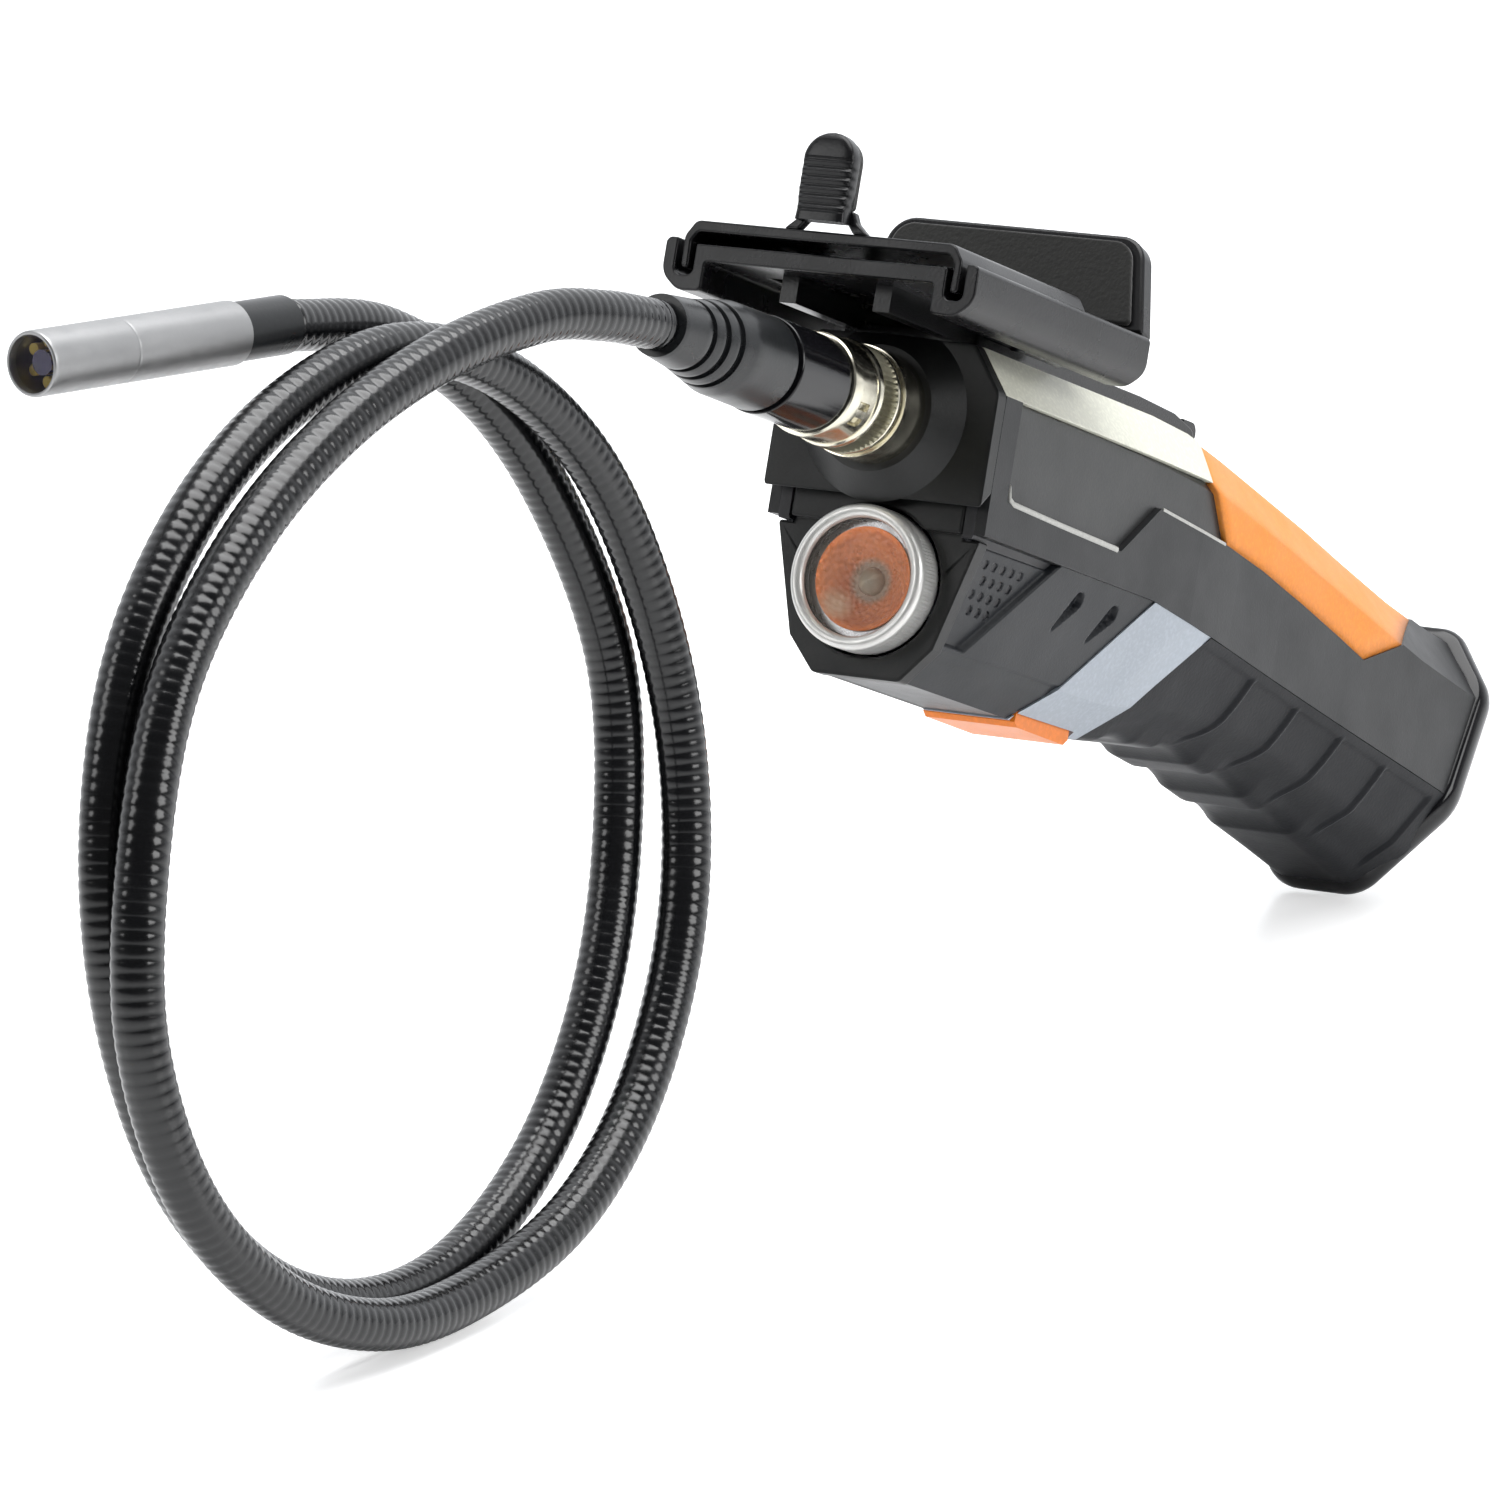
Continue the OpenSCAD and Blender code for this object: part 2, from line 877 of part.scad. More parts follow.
// Direction of the axis at one ring
function axis_dir(i) =
    i == 0 ? [cos(stance), 0, sin(stance)]
    : i == len(AXIS) - 1 ? [cos(head_rise) * cos(head_turn), cos(head_rise) * sin(head_turn), sin(head_rise)]
    : unit(AXIS[i + 1] - AXIS[i - 1]);

function neck_ring(i) =
    let (t = axis_dir(i), side = unit(cross(t, [0, 1, 0])), out = cross(side, t))
    [for (k = [0:neck_sides - 1])
        let (a = 360 * k / neck_sides)
        AXIS[i] + neck_d / 2 * (cos(a) * side + sin(a) * out)];

module gooseneck() {
    color(BLACK)
        loft([for (i = [0:len(AXIS) - 1]) neck_ring(i)]);
}

// Puts children at the end of the gooseneck with Z pointing forward out of the head
module at_head(along = 0) {
    translate(ROUTE[len(ROUTE) - 1])
        rotate([0, 0, head_turn])
            rotate([0, 90 - head_rise, 0])
                translate([0, 0, along])
                    children();
}

sleeve_len = 12;
rim_depth = 2.2;

module head_sleeve() {
    color(BLACK)
        at_head()
            cylinder(h = sleeve_len, r = 4.5);
}

module camera_barrel() {
    color(STEEL)
        at_head(sleeve_len)
            difference() {
                cylinder(h = barrel_len, r = barrel_r);
                translate([0, 0, 2])
                    cylinder(h = barrel_len, r = barrel_r - 0.7);
            }
}

module camera_board() {
    color(BOARD_GREEN)
        at_head(sleeve_len + barrel_len - 8)
            cylinder(h = 1, r = barrel_r - 0.72);
}

module camera_lens() {
    color(BLACK)
        at_head(sleeve_len + barrel_len - 7) {
            cylinder(h = 4.6, r = 1.9);
        }
}

module camera_lamps() {
    color([0.95, 0.8, 0.3])
        at_head(sleeve_len + barrel_len - 7)
            for (a = [0:60:300])
                rotate([0, 0, a])
                    translate([3.05, 0, 0])
                        cylinder(h = 3.4, r = 0.9);
}

module camera_window() {
    color([0.6, 0.7, 0.8, 0.4])
        at_head(sleeve_len + barrel_len - rim_depth)
            cylinder(h = 0.8, r = barrel_r - 0.72);
}

// ---------------------------------------------------------------- phone holder
rail_front = 30;
rail_back = rail_front - rail_len;
rail_z = 12.4;
web_z = 17.4;
web_t = 2.8;
web_top = web_z + web_t;
slot_in = 22.8;
slot_out = 26.2;
plate_z = 20.9;
plate_top = 24.1;
plate_len = 46;
SCREW_X = [-24, -8];    // screws that hold the tray on its foot
hook_y = 14.5;          // the springs and the hooks they pull on

// Extrudes a Y-Z outline along X
module along_rails(x0, x1) {
    translate([x0, 0, 0])
        rotate([90, 0, 90])
            linear_extrude(height = x1 - x0)
                children();
}

module rail_section() {
    difference() {
        polygon([
            [-rail_y, 16.4], [-rail_y + 0.9, 14], [-rail_y + 2.6, rail_z + 0.4],
            [-25, rail_z], [-20.8, rail_z + 0.3], [-20.8, web_z],
            [20.8, web_z], [20.8, rail_z + 0.3], [25, rail_z],
            [rail_y - 2.6, rail_z + 0.4], [rail_y - 0.9, 14], [rail_y, 16.4],
            [rail_y, 20.4], [rail_y - 0.7, 21], [slot_out, 21],
            [slot_out, web_top], [-slot_out, web_top], [-slot_out, 21],
            [-rail_y + 0.7, 21], [-rail_y, 20.4]]);
        for (side = [-1, 1])
            translate([side * (slot_in + slot_out) / 2, 21])
                square([slot_out - slot_in, 12.4], center = true);
    }
}

module holder_base() {
    color(BLACK)
        place() {
            difference() {
                along_rails(rail_back, rail_front)
                    rail_section();
                for (x = SCREW_X)
                    translate([x, 0, 10])
                        cylinder(h = 20, r = 1.5);
                // the hooks of the sliding jaw run in these
                for (side = [-1, 1])
                    translate([-18, side * hook_y - 1.2, 10])
                        cube([35.5, 2.4, 20]);
            }
            // posts that anchor the springs
            for (side = [-1, 1])
                translate([-31.5, side * hook_y - 1.3, 13.4])
                    cube([1.5, 2.6, web_z - 13.3]);
        }
}

module holder_foot() {
    color(SOFT_BLACK)
        place()
            difference() {
                union() {
                    for (y = [-10, 7])
                        translate([rail_back + 5, y, 13])
                            cube([rail_len - 12, 3, web_z - 13]);
                    for (x = SCREW_X)
                        translate([x, 0, 13])
                            cylinder(h = web_z - 13, r = 4);
                    translate([-89, -10, 12.5])
                        cube([88.5, 20, 1.5]);
                    translate([-92.4, -10, 11.6])
                        cube([3.6, 20, 3.6]);
                    translate([-92.4, 10, 13.4])
                        rotate([90, 0, 0])
                            cylinder(h = 20, r = 1.8);
                }
                for (x = SCREW_X)
                    translate([x, 0, 10])
                        cylinder(h = 20, r = 1.5);
            }
}

module holder_screws() {
    color(STEEL)
        place()
            for (x = SCREW_X)
                translate([x, 0, 14.2]) {
                    cylinder(h = web_top - 14.2 - 0.6, r = 1.5);
                }
}

module plate_section() {
    polygon([
        [-25.2, 16.2], [-23.6, 16.2], [-23.6, plate_z - 0.6], [-23, plate_z],
        [-21, plate_z], [-21, web_top + 0.05], [-18, web_top + 0.05], [-18, plate_z],
        [18, plate_z], [18, web_top + 0.05], [21, web_top + 0.05], [21, plate_z],
        [23, plate_z], [23.6, plate_z - 0.6], [23.6, 16.2], [25.2, 16.2],
        [25.2, 21.8], [24.3, 23.4], [22.6, plate_top], [-22.6, plate_top],
        [-24.3, 23.4], [-25.2, 21.8]]);
}

module jaw_plate() {
    color(BLACK)
        place() {
            difference() {
                along_rails(rail_front - plate_len, rail_front)
                    plate_section();
                // a shallow notch under the arch
                translate([rail_front - 2.1, -4.95, plate_top - 0.4])
                    cube([4, 9.9, 2]);
            }
            // the arch that carries the claw
            along_rails(rail_front - 2, rail_front)
                polygon([
                    [-7.4, plate_top - 0.1], [-5, 26.2], [-4.5, 27], [-4.5, 27.6], [4.5, 27.6],
                    [4.5, 27], [5, 26.2], [7.4, plate_top - 0.1], [5, plate_top - 0.1],
                    [3.4, 25.7], [-3.4, 25.7], [-5, plate_top - 0.1]]);
            for (side = [-1, 1])
                translate([rail_front - plate_len, side * hook_y - 0.9, 13.8])
                    cube([2.4, 1.8, plate_z - 13.7]);
        }
}

module jaw_springs() {
    color(STEEL)
        place()
            for (side = [-1, 1])
                translate([-30, side * hook_y, 15.6])
                    rotate([0, 90, 0])
                        cylinder(h = 14, r = 1.6);
}

module claw() {
    color(SOFT_BLACK)
        place()
            difference() {
                along_rails(rail_front, rail_front + 3.2)
                    union() {
                        translate([-4.5, 25.3])
                            square([9, claw_h - 4.5]);
                        translate([0, 25.3 + claw_h - 4.5])
                            circle(r = 4.5);
                    }
                for (k = [0:5])
                    translate([rail_front + 2.6, -10, 26.6 + 1.5 * k])
                        cube([2, 20, 0.6]);
            }
}

module claw_pad() {
    color(BLACK)
        place()
            along_rails(rail_front - 1.9, rail_front)
                union() {
                    translate([-4.2, 27.6])
                        square([8.4, claw_h - 6.8]);
                    translate([0, 27.6 + claw_h - 6.8])
                        circle(r = 4.2);
                }
}

jaw_lean = 12;

// Puts children on the rear jaw's front face: X forward, Z up along the jaw
module on_rear_jaw() {
    translate([-33, 0, 21])
        rotate([0, -jaw_lean, 0])
            children();
}

module jaw_outline(inset) {
    hull() {
        for (side = [-1, 1])
            translate([side * (23 - 5), 17.2 - 5])
                circle(r = 5 - inset, $fn = 32);
        for (side = [-1, 1])
            translate([side * (rail_y - 1.2 - inset), -2.6 + 1.6 * inset])
                square([0.4, 0.4], center = true);
    }
}

module rear_jaw() {
    color(BLACK)
        place()
            difference() {
                on_rear_jaw()
                    along_rails(-4, 0)
                        jaw_outline(0);
                translate([rail_back, -wide, -wide])
                    cube([wide, 2 * wide, wide + 21]);
            }
}

module rear_pad() {
    color(SOFT_BLACK)
        place()
            on_rear_jaw()
                along_rails(0, 1.2)
                    jaw_outline(1.5);
}

left_housing();
right_housing();
nose_block();
socket_collar();
left_side_band();
right_side_band();
left_upper_panel();
right_upper_panel();
left_vent_panel();
right_vent_panel();
top_deck();
back_insert();
belly_band();
grip_sleeve();
base_cap();
cap_gasket();
strap_loop();
cap_screws();
housing_screws();
trigger();
trigger_pin();
trigger_spring();
trigger_switch();
main_board();
radio_module();
battery_cradle();
battery_cells();
battery_contacts();
light_body();
light_board();
light_reflector();
light_lens();
light_seal();
light_bezel();
panel_socket();
coupling_nut();
plug_core();
plug_sleeve();
plug_boot();
gooseneck();
head_sleeve();
camera_barrel();
camera_board();
camera_lens();
camera_lamps();
camera_window();
holder_foot();
holder_base();
holder_screws();
jaw_plate();
jaw_springs();
claw();
claw_pad();
rear_jaw();
rear_pad();
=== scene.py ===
import math

import bmesh
import bpy
from mathutils import Matrix, Vector


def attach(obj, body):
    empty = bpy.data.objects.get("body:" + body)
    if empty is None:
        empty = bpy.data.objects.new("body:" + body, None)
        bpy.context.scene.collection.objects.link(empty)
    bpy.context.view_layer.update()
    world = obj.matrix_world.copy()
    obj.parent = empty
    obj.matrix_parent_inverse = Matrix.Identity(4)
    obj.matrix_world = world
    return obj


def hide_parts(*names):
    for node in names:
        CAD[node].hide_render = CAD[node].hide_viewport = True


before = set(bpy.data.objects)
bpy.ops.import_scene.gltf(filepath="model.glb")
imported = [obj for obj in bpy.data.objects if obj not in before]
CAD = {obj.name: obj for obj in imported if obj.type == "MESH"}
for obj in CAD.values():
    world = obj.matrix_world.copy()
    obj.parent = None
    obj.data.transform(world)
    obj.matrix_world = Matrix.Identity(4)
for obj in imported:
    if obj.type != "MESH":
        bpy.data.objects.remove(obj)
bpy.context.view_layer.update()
scene = bpy.context.scene
MM = 0.001

# ------------------------------------------------------------ design frame
TILT = math.radians(19.4)
NOSE = (62.9, 116.2)
LIGHT_DROP = 27.2


def P(x, y, z):
    """A point of the handset's own axes, in mm, in the part's frame, in metres."""
    c, s = math.cos(TILT), math.sin(TILT)
    return Vector((NOSE[0] + x * c - z * s, y, NOSE[1] + x * s + z * c)) * MM


def smooth(a, b, x):
    t = min(1.0, max(0.0, (x - a) / (b - a)))
    return t * t * (3 - 2 * t)


def lerp(a, b, t):
    return a + (b - a) * t


# ------------------------------------------------------------ camera
cam_data = bpy.data.cameras.new("camera")
cam_data.lens = 216
cam_data.sensor_width = 36
cam_data.clip_start = 0.05
cam_data.clip_end = 60
camera = bpy.data.objects.new("camera", cam_data)
scene.collection.objects.link(camera)
CAM_X = Vector((-0.4879, 0.8729, 0.0))
CAM_D = Vector((0.8505, 0.4753, 0.2250))
CAM_Y = CAM_D.cross(CAM_X).normalized()
rot = Matrix((CAM_X.normalized(), CAM_Y, CAM_D.normalized())).transposed()
camera.matrix_world = Matrix.Translation(Vector((1.32477, 0.6802, 0.39103))) @ rot.to_4x4()
scene.camera = camera


# ------------------------------------------------------------ materials
class Nodes:
    """Small helper for node trees: every call adds one node and returns its output."""

    def __init__(self, name):
        self.mat = bpy.data.materials.new(name)
        self.mat.use_nodes = True
        self.tree = self.mat.node_tree
        self.shader = self.tree.nodes["Principled BSDF"]
        coords = self.tree.nodes.new("ShaderNodeTexCoord")
        self.place = coords.outputs["Object"]

    def put(self, socket, value):
        if isinstance(value, bpy.types.NodeSocket):
            self.tree.links.new(value, socket)
        elif isinstance(value, (tuple, list)) and len(socket.default_value) == 4:
            socket.default_value = (*value[:3], 1)
        else:
            socket.default_value = value

    def set(self, **values):
        for key, value in values.items():
            self.put(self.shader.inputs[key.replace("_", " ")], value)
        return self

    def noise(self, scale, detail=2.0, rough=0.5, place=None):
        n = self.tree.nodes.new("ShaderNodeTexNoise")
        self.put(n.inputs["Vector"], place or self.place)
        self.put(n.inputs["Scale"], scale)
        self.put(n.inputs["Detail"], detail)
        self.put(n.inputs["Roughness"], rough)
        return n.outputs["Fac"]

    def cells(self, scale, place=None, feature="F1"):
        n = self.tree.nodes.new("ShaderNodeTexVoronoi")
        n.feature = feature
        self.put(n.inputs["Vector"], place or self.place)
        self.put(n.inputs["Scale"], scale)
        return n.outputs["Distance"]

    def stretch(self, scale, turn=(0, 0, 0)):
        n = self.tree.nodes.new("ShaderNodeMapping")
        self.put(n.inputs["Vector"], self.place)
        n.inputs["Rotation"].default_value = turn
        n.inputs["Scale"].default_value = scale
        return n.outputs["Vector"]

    def ramp(self, value, low, high, a=0.3, b=0.7):
        n = self.tree.nodes.new("ShaderNodeMapRange")
        self.put(n.inputs["Value"], value)
        n.inputs["From Min"].default_value = a
        n.inputs["From Max"].default_value = b
        n.inputs["To Min"].default_value = low
        n.inputs["To Max"].default_value = high
        return n.outputs["Result"]

    def mix(self, fac, a, b):
        n = self.tree.nodes.new("ShaderNodeMix")
        n.data_type = "RGBA"
        self.put(n.inputs["Factor"], fac)
        self.put(n.inputs[6], a)
        self.put(n.inputs[7], b)
        return n.outputs[2]

    def bump(self, height, depth, strength=1.0, after=None):
        n = self.tree.nodes.new("ShaderNodeBump")
        self.put(n.inputs["Height"], height)
        n.inputs["Strength"].default_value = strength
        n.inputs["Distance"].default_value = depth
        if after is not None:
            self.put(n.inputs["Normal"], after)
        return n.outputs["Normal"]

    def worn(self, low=0.52, high=0.62):
        n = self.tree.nodes.new("ShaderNodeNewGeometry")
        return self.ramp(n.outputs["Pointiness"], 0.0, 1.0, low, high)


def tint(c, k):
    return tuple(min(1.0, v * k) for v in c[:3])


def moulded(name, colour, rough, grain=2200, depth=0.00004, spread=0.12, patch=14, spec=0.5, sheen=0.0,
            coat=0.0, edge=0.35):
    """Moulded plastic or rubber: fine spark-eroded grain, uneven gloss, faint patches, rubbed edges."""
    n = Nodes(name)
    cloud = n.noise(patch, 3)
    body = n.mix(n.ramp(cloud, 0, 1), tint(colour, 1 - spread), tint(colour, 1 + spread))
    specks = n.ramp(n.noise(grain * 0.6, 2), 0, 0.5, 0.45, 0.75)
    body = n.mix(specks, body, tint(colour, 1.35))
    body = n.mix(n.ramp(n.worn(), 0, edge, 0, 1), body, tint(colour, 2.2))
    wipe = n.noise(60, 4, 0.6)
    n.set(Base_Color=body, Roughness=n.ramp(wipe, rough - 0.05, rough + 0.06))
    n.set(Normal=n.bump(n.noise(grain, 2), depth, 0.5, n.bump(n.noise(45, 1), 0.00006, 0.25)))
    n.shader.inputs["Specular IOR Level"].default_value = spec
    n.shader.inputs["Sheen Weight"].default_value = sheen
    n.shader.inputs["Coat Weight"].default_value = coat
    n.shader.inputs["Coat Roughness"].default_value = 0.12
    return n.mat


def soften(mat, radius):
    """Rounds the shading of hard corners by radius in mm."""
    tree = mat.node_tree
    soft = tree.nodes.new("ShaderNodeBevel")
    soft.samples = 6
    soft.inputs["Radius"].default_value = radius * MM
    for n in list(tree.nodes):
        if n.bl_idname == "ShaderNodeBump" and not n.inputs["Normal"].is_linked:
            tree.links.new(soft.outputs["Normal"], n.inputs["Normal"])


def metal(name, colour, rough, brush=None, dirt=0.15, turn=(0, 0, 0)):
    """Metal with fine brush or tumble marks and a little tarnish."""
    n = Nodes(name)
    place = n.stretch(brush, turn) if brush else n.place
    marks = n.noise(900 if brush else 420, 4, 0.65, place)
    cloud = n.noise(70, 3)
    n.set(Base_Color=n.mix(n.ramp(cloud, 0, dirt * 2), colour, tint(colour, 0.55)))
    n.shader.inputs["Metallic"].default_value = 1.0
    n.set(Roughness=n.ramp(marks, rough - 0.06, rough + 0.1))
    n.set(Normal=n.bump(marks, 0.00002, 0.35))
    return n.mat


def board_mat(name, colour):
    """Circuit board: solder mask with tracks and pads of a repeating grid."""
    n = Nodes(name)
    tracks = n.ramp(n.cells(260, n.stretch((1, 1, 1))), 0, 1, 0.05, 0.5)
    n.set(Base_Color=n.mix(tracks, tint(colour, 1.6), tint(colour, 0.8)))
    n.set(Roughness=n.ramp(n.noise(200), 0.3, 0.5), Normal=n.bump(tracks, 0.00005, 0.4))
    return n.mat


M = {
    "shell": moulded("shell_plastic", (0.013, 0.0135, 0.0145), 0.40, spec=0.3, edge=0.2),
    "upper": moulded("upper_plastic", (0.024, 0.0245, 0.0245), 0.38, spec=0.4, edge=0.2),
    "vent": moulded("vent_plastic", (0.0095, 0.011, 0.0135), 0.36, spec=0.27, edge=0.2),
    "black": moulded("black_plastic", (0.0055, 0.0055, 0.0062), 0.26, spec=0.34, spread=0.06, edge=0.05),
    "gloss": moulded("gloss_plastic", (0.0045, 0.0045, 0.0055), 0.15, grain=900, depth=0.00001, spec=0.3,
                     coat=0.2, edge=0.05),
    "nose": moulded("nose_plastic", (0.008, 0.0084, 0.0084), 0.42, spec=0.4),
    "housing": moulded("housing_plastic", (0.016, 0.016, 0.018), 0.5),
    "pale": moulded("deck_plastic", (0.66, 0.66, 0.56), 0.42, spread=0.05, edge=0.1),
    "stripe": moulded("stripe_plastic", (0.29, 0.325, 0.37), 0.32, spread=0.05, edge=0.1, coat=0.2),
    "orange": moulded("insert_rubber", (0.80, 0.245, 0.014), 0.4, spread=0.04, edge=0.04, spec=0.4),
    "trigger": moulded("trigger_plastic", (0.76, 0.19, 0.012), 0.36, spread=0.05, edge=0.05, spec=0.35),
    "grip": moulded("grip_rubber", (0.0065, 0.0072, 0.0095), 0.42, grain=1500, depth=0.00007, spec=0.14,
                    sheen=0.02, edge=0.2),
    "boot": moulded("boot_rubber", (0.009, 0.010, 0.011), 0.3, grain=1600, depth=0.00003),
    "foam": moulded("foam", (0.016, 0.016, 0.015), 0.9, grain=1400, depth=0.0003, spread=0.3, spec=0.2,
                    sheen=0.3),
    "white_board": board_mat("white_board", (0.6, 0.62, 0.58)),
    "board": board_mat("green_board", (0.02, 0.14, 0.07)),
    "wrap": moulded("cell_wrap", (0.02, 0.09, 0.28), 0.3, spread=0.06, edge=0.05),
    "nickel": metal("nickel", (0.84, 0.80, 0.66), 0.18, dirt=0.08),
    "steel": metal("steel", (0.55, 0.55, 0.56), 0.28),
    "bright": metal("bright_steel", (0.37, 0.37, 0.372), 0.42, dirt=0.06),
    "alu": metal("aluminium", (0.74, 0.735, 0.71), 0.34, dirt=0.04),
}
M["alu"].node_tree.nodes["Principled BSDF"].inputs["Metallic"].default_value = 0.6


def neck_mat():
    n = Nodes("neck_jacket")
    c = (0.0028, 0.003, 0.0036)
    cloud = n.noise(24, 3)
    n.set(Base_Color=n.mix(n.ramp(cloud, 0, 1), tint(c, 0.7), tint(c, 1.4)))
    n.set(Roughness=n.ramp(n.noise(300, 3), 0.16, 0.26))
    n.set(Normal=n.bump(n.noise(1100, 2), 0.00003, 0.35))
    n.shader.inputs["Coat Weight"].default_value = 0.2
    n.shader.inputs["Coat Roughness"].default_value = 0.14
    return n.mat


def reflector_mat():
    """Copper dish, creamy round the lamp, with a painted highlight arc, a deep orange rim and a faint painted
    orange glow.
    """
    n = Nodes("copper_reflector")

    def away(point):
        far = n.tree.nodes.new("ShaderNodeVectorMath")
        far.operation = "DISTANCE"
        n.put(far.inputs[0], n.place)
        far.inputs[1].default_value = point
        return far.outputs["Value"]

    dish = n.mix(n.ramp(n.noise(160, 2), 0, 1), (0.62, 0.15, 0.045), (0.80, 0.27, 0.09))
    dish = n.mix(n.ramp(away(P(-1.8, 0, -LIGHT_DROP)), 0, 1, 7.4 * MM, 8.3 * MM), dish, (0.95, 0.26, 0.05))
    # pale cream patch off to one side: a painted highlight arc
    arc = n.ramp(away(P(-2.6, -4.6, -LIGHT_DROP - 4.4)), 0.85, 0, 1.2 * MM, 3.4 * MM)
    dish = n.mix(arc, dish, (0.80, 0.62, 0.44))
    dish = n.mix(n.ramp(away(P(-4.6, 0, -LIGHT_DROP)), 1, 0, 3.0 * MM, 4.2 * MM), dish, (0.36, 0.31, 0.24))
    n.set(Base_Color=dish)
    n.shader.inputs["Metallic"].default_value = 0.3
    n.set(Roughness=n.ramp(n.noise(500), 0.25, 0.4))
    n.set(Normal=n.bump(n.cells(1000), 0.0003, 0.8))
    # faint orange emission: a painted glow, the dish is no lamp
    n.shader.inputs["Emission Strength"].default_value = 0.06
    n.shader.inputs["Emission Color"].default_value = (1.0, 0.35, 0.12, 1)
    return n.mat


def glass_mat(name, colour, alpha, rough=0.04, cells=None):
    n = Nodes(name)
    n.set(Base_Color=n.mix(n.ramp(n.noise(90), 0, 1), tint(colour, 0.9), colour))
    n.set(Roughness=n.ramp(n.noise(300), rough, rough + 0.05))
    n.shader.inputs["Alpha"].default_value = alpha
    if cells:
        n.set(Normal=n.bump(n.cells(cells), 0.0003, 0.5))
    return n.mat


soften(M["orange"], 5.0)
# pale grey for the beads along the panel step: a painted highlight of the step's lit fillet
M["edge"] = moulded("painted_step_highlight", (0.40, 0.40, 0.375), 0.3, spread=0.05, edge=0.05)
# knurled band in a darker copy of the nut's nickel: painted shade of its grooves, with more tarnish patches
M["knurl"] = metal("nickel_knurl_painted_shade", (0.40, 0.38, 0.28), 0.34, dirt=0.3)
M["neck"] = neck_mat()
M["copper"] = reflector_mat()
M["glass"] = glass_mat("lens_glass", (0.55, 0.5, 0.44), 0.1, cells=1100)
M["chip"] = moulded("lamp_chip", (0.38, 0.33, 0.24), 0.35, grain=600, depth=0.00005)
M["window"] = glass_mat("window_glass", (0.06, 0.05, 0.1), 0.12)
M["optic"] = moulded("coated_optic", (0.02, 0.014, 0.06), 0.1, grain=300, depth=0.00001, spec=0.9, coat=1.0)
M["lamp"] = moulded("lamp_yellow", (0.80, 0.48, 0.10), 0.3, grain=600, depth=0.00002)


# ------------------------------------------------------------ mesh helpers
def solid(name, verts, faces):
    """A new object with its faces turned outward."""
    mesh = bpy.data.meshes.new(name)
    mesh.from_pydata([tuple(v) for v in verts], [], faces)
    bm = bmesh.new()
    bm.from_mesh(mesh)
    bmesh.ops.recalc_face_normals(bm, faces=bm.faces)
    bm.to_mesh(mesh)
    bm.free()
    o = bpy.data.objects.new(name, mesh)
    scene.collection.objects.link(o)
    return o


def piece(name, verts, faces, mat, body, slot, replaces=(), sharp=35):
    o = solid(name, verts, faces)
    o.data.shade_smooth()
    o.data.set_sharp_from_angle(angle=math.radians(sharp))
    o.data.materials.append(mat)
    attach(o, body)
    if replaces:
        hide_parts(*replaces)
    return o


def bevel(o, width, segments=2, angle=32):
    m = o.modifiers.new("edge_round", "BEVEL")
    m.width = width * MM
    m.segments = segments
    m.limit_method = "ANGLE"
    m.angle_limit = math.radians(angle)
    m.use_clamp_overlap = True
    m.harden_normals = False
    return o


def fillet(points, radii, steps=5):
    """A closed outline with its corners rounded."""
    out = []
    n = len(points)
    for i, (p, r) in enumerate(zip(points, radii)):
        a, b = Vector(points[i - 1]), Vector(points[(i + 1) % n])
        p = Vector(p)
        u, v = (a - p), (b - p)
        if r <= 0:
            out.append(tuple(p))
            continue
        half = u.angle(v) / 2
        cut = min(r / math.tan(half), 0.48 * u.length, 0.48 * v.length)
        r = cut * math.tan(half)
        u.normalize()
        v.normalize()
        centre = p + (u + v).normalized() * (r / math.sin(half))
        s, e = p + u * cut - centre, p + v * cut - centre
        for k in range(steps + 1):
            d = (s * (1 - k / steps) + e * (k / steps)).normalized() * r
            out.append(tuple(centre + d))
    return out


def rings(loops, close=True, caps=True):
    """Vertices and faces of a skin through equal closed loops."""
    verts = [v for loop in loops for v in loop]
    n = len(loops[0])
    faces = []
    for i in range(len(loops) - 1):
        for k in range(n if close else n - 1):
            a, b = i * n + k, i * n + (k + 1) % n
            faces.append((a, b, b + n, a + n))
    if caps:
        faces.append(tuple(range(n - 1, -1, -1)))
        faces.append(tuple(range((len(loops) - 1) * n, len(loops) * n)))
    return verts, faces


def wrap(loops):
    """Vertices and faces of a skin through equal closed loops, the last joined to the first."""
    n = len(loops[0])
    verts = [v for loop in loops for v in loop]
    faces = []
    for i in range(len(loops)):
        j = (i + 1) % len(loops)
        for a in range(n):
            b = (a + 1) % n
            faces.append((i * n + a, i * n + b, j * n + b, j * n + a))
    return verts, faces


def lathe(profile, sides, z=0.0, wobble=None):
    """Closed turned form about the forward axis: profile of (x, r) in mm, ends joined to each other."""
    loops = []
    for x, r in profile:
        loop = []
        for k in range(sides):
            a = 2 * math.pi * k / sides
            q = r + (wobble(x, r, a) if wobble else 0)
            loop.append(P(x, q * math.sin(a), z + q * math.cos(a)))
        loops.append(loop)
    return wrap(loops)


# ------------------------------------------------------------ gooseneck
ROUTE = [
    (136.660, 0, 142.175), (152, -1, 146), (168, -3, 148), (193, -5, 146), (219, -7, 139), (243, -8, 127),
    (263, -8, 109), (275, -6, 86), (279, -4, 60), (271, -1, 35), (252, 2, 16), (228, 5, 6), (201, 6, 5),
    (175, 7, 11), (153, 6, 25), (137, 4, 47), (131, 1, 72), (134, -3, 98), (146, -7, 122), (167, -11, 139),
    (192, -14, 146), (219, -16, 142), (243, -17, 130), (261, -17, 111), (271, -15, 86), (272, -12, 60),
    (263, -9, 35), (245, -6, 16), (221, -4, 6), (195, -3, 6), (170, -3, 17), (151, -4, 36), (138, -7, 59),
    (134, -10, 86), (141, -15, 111), (157, -19, 132), (180, -23, 146), (206, -25, 151)]
NECK_D = 8.0


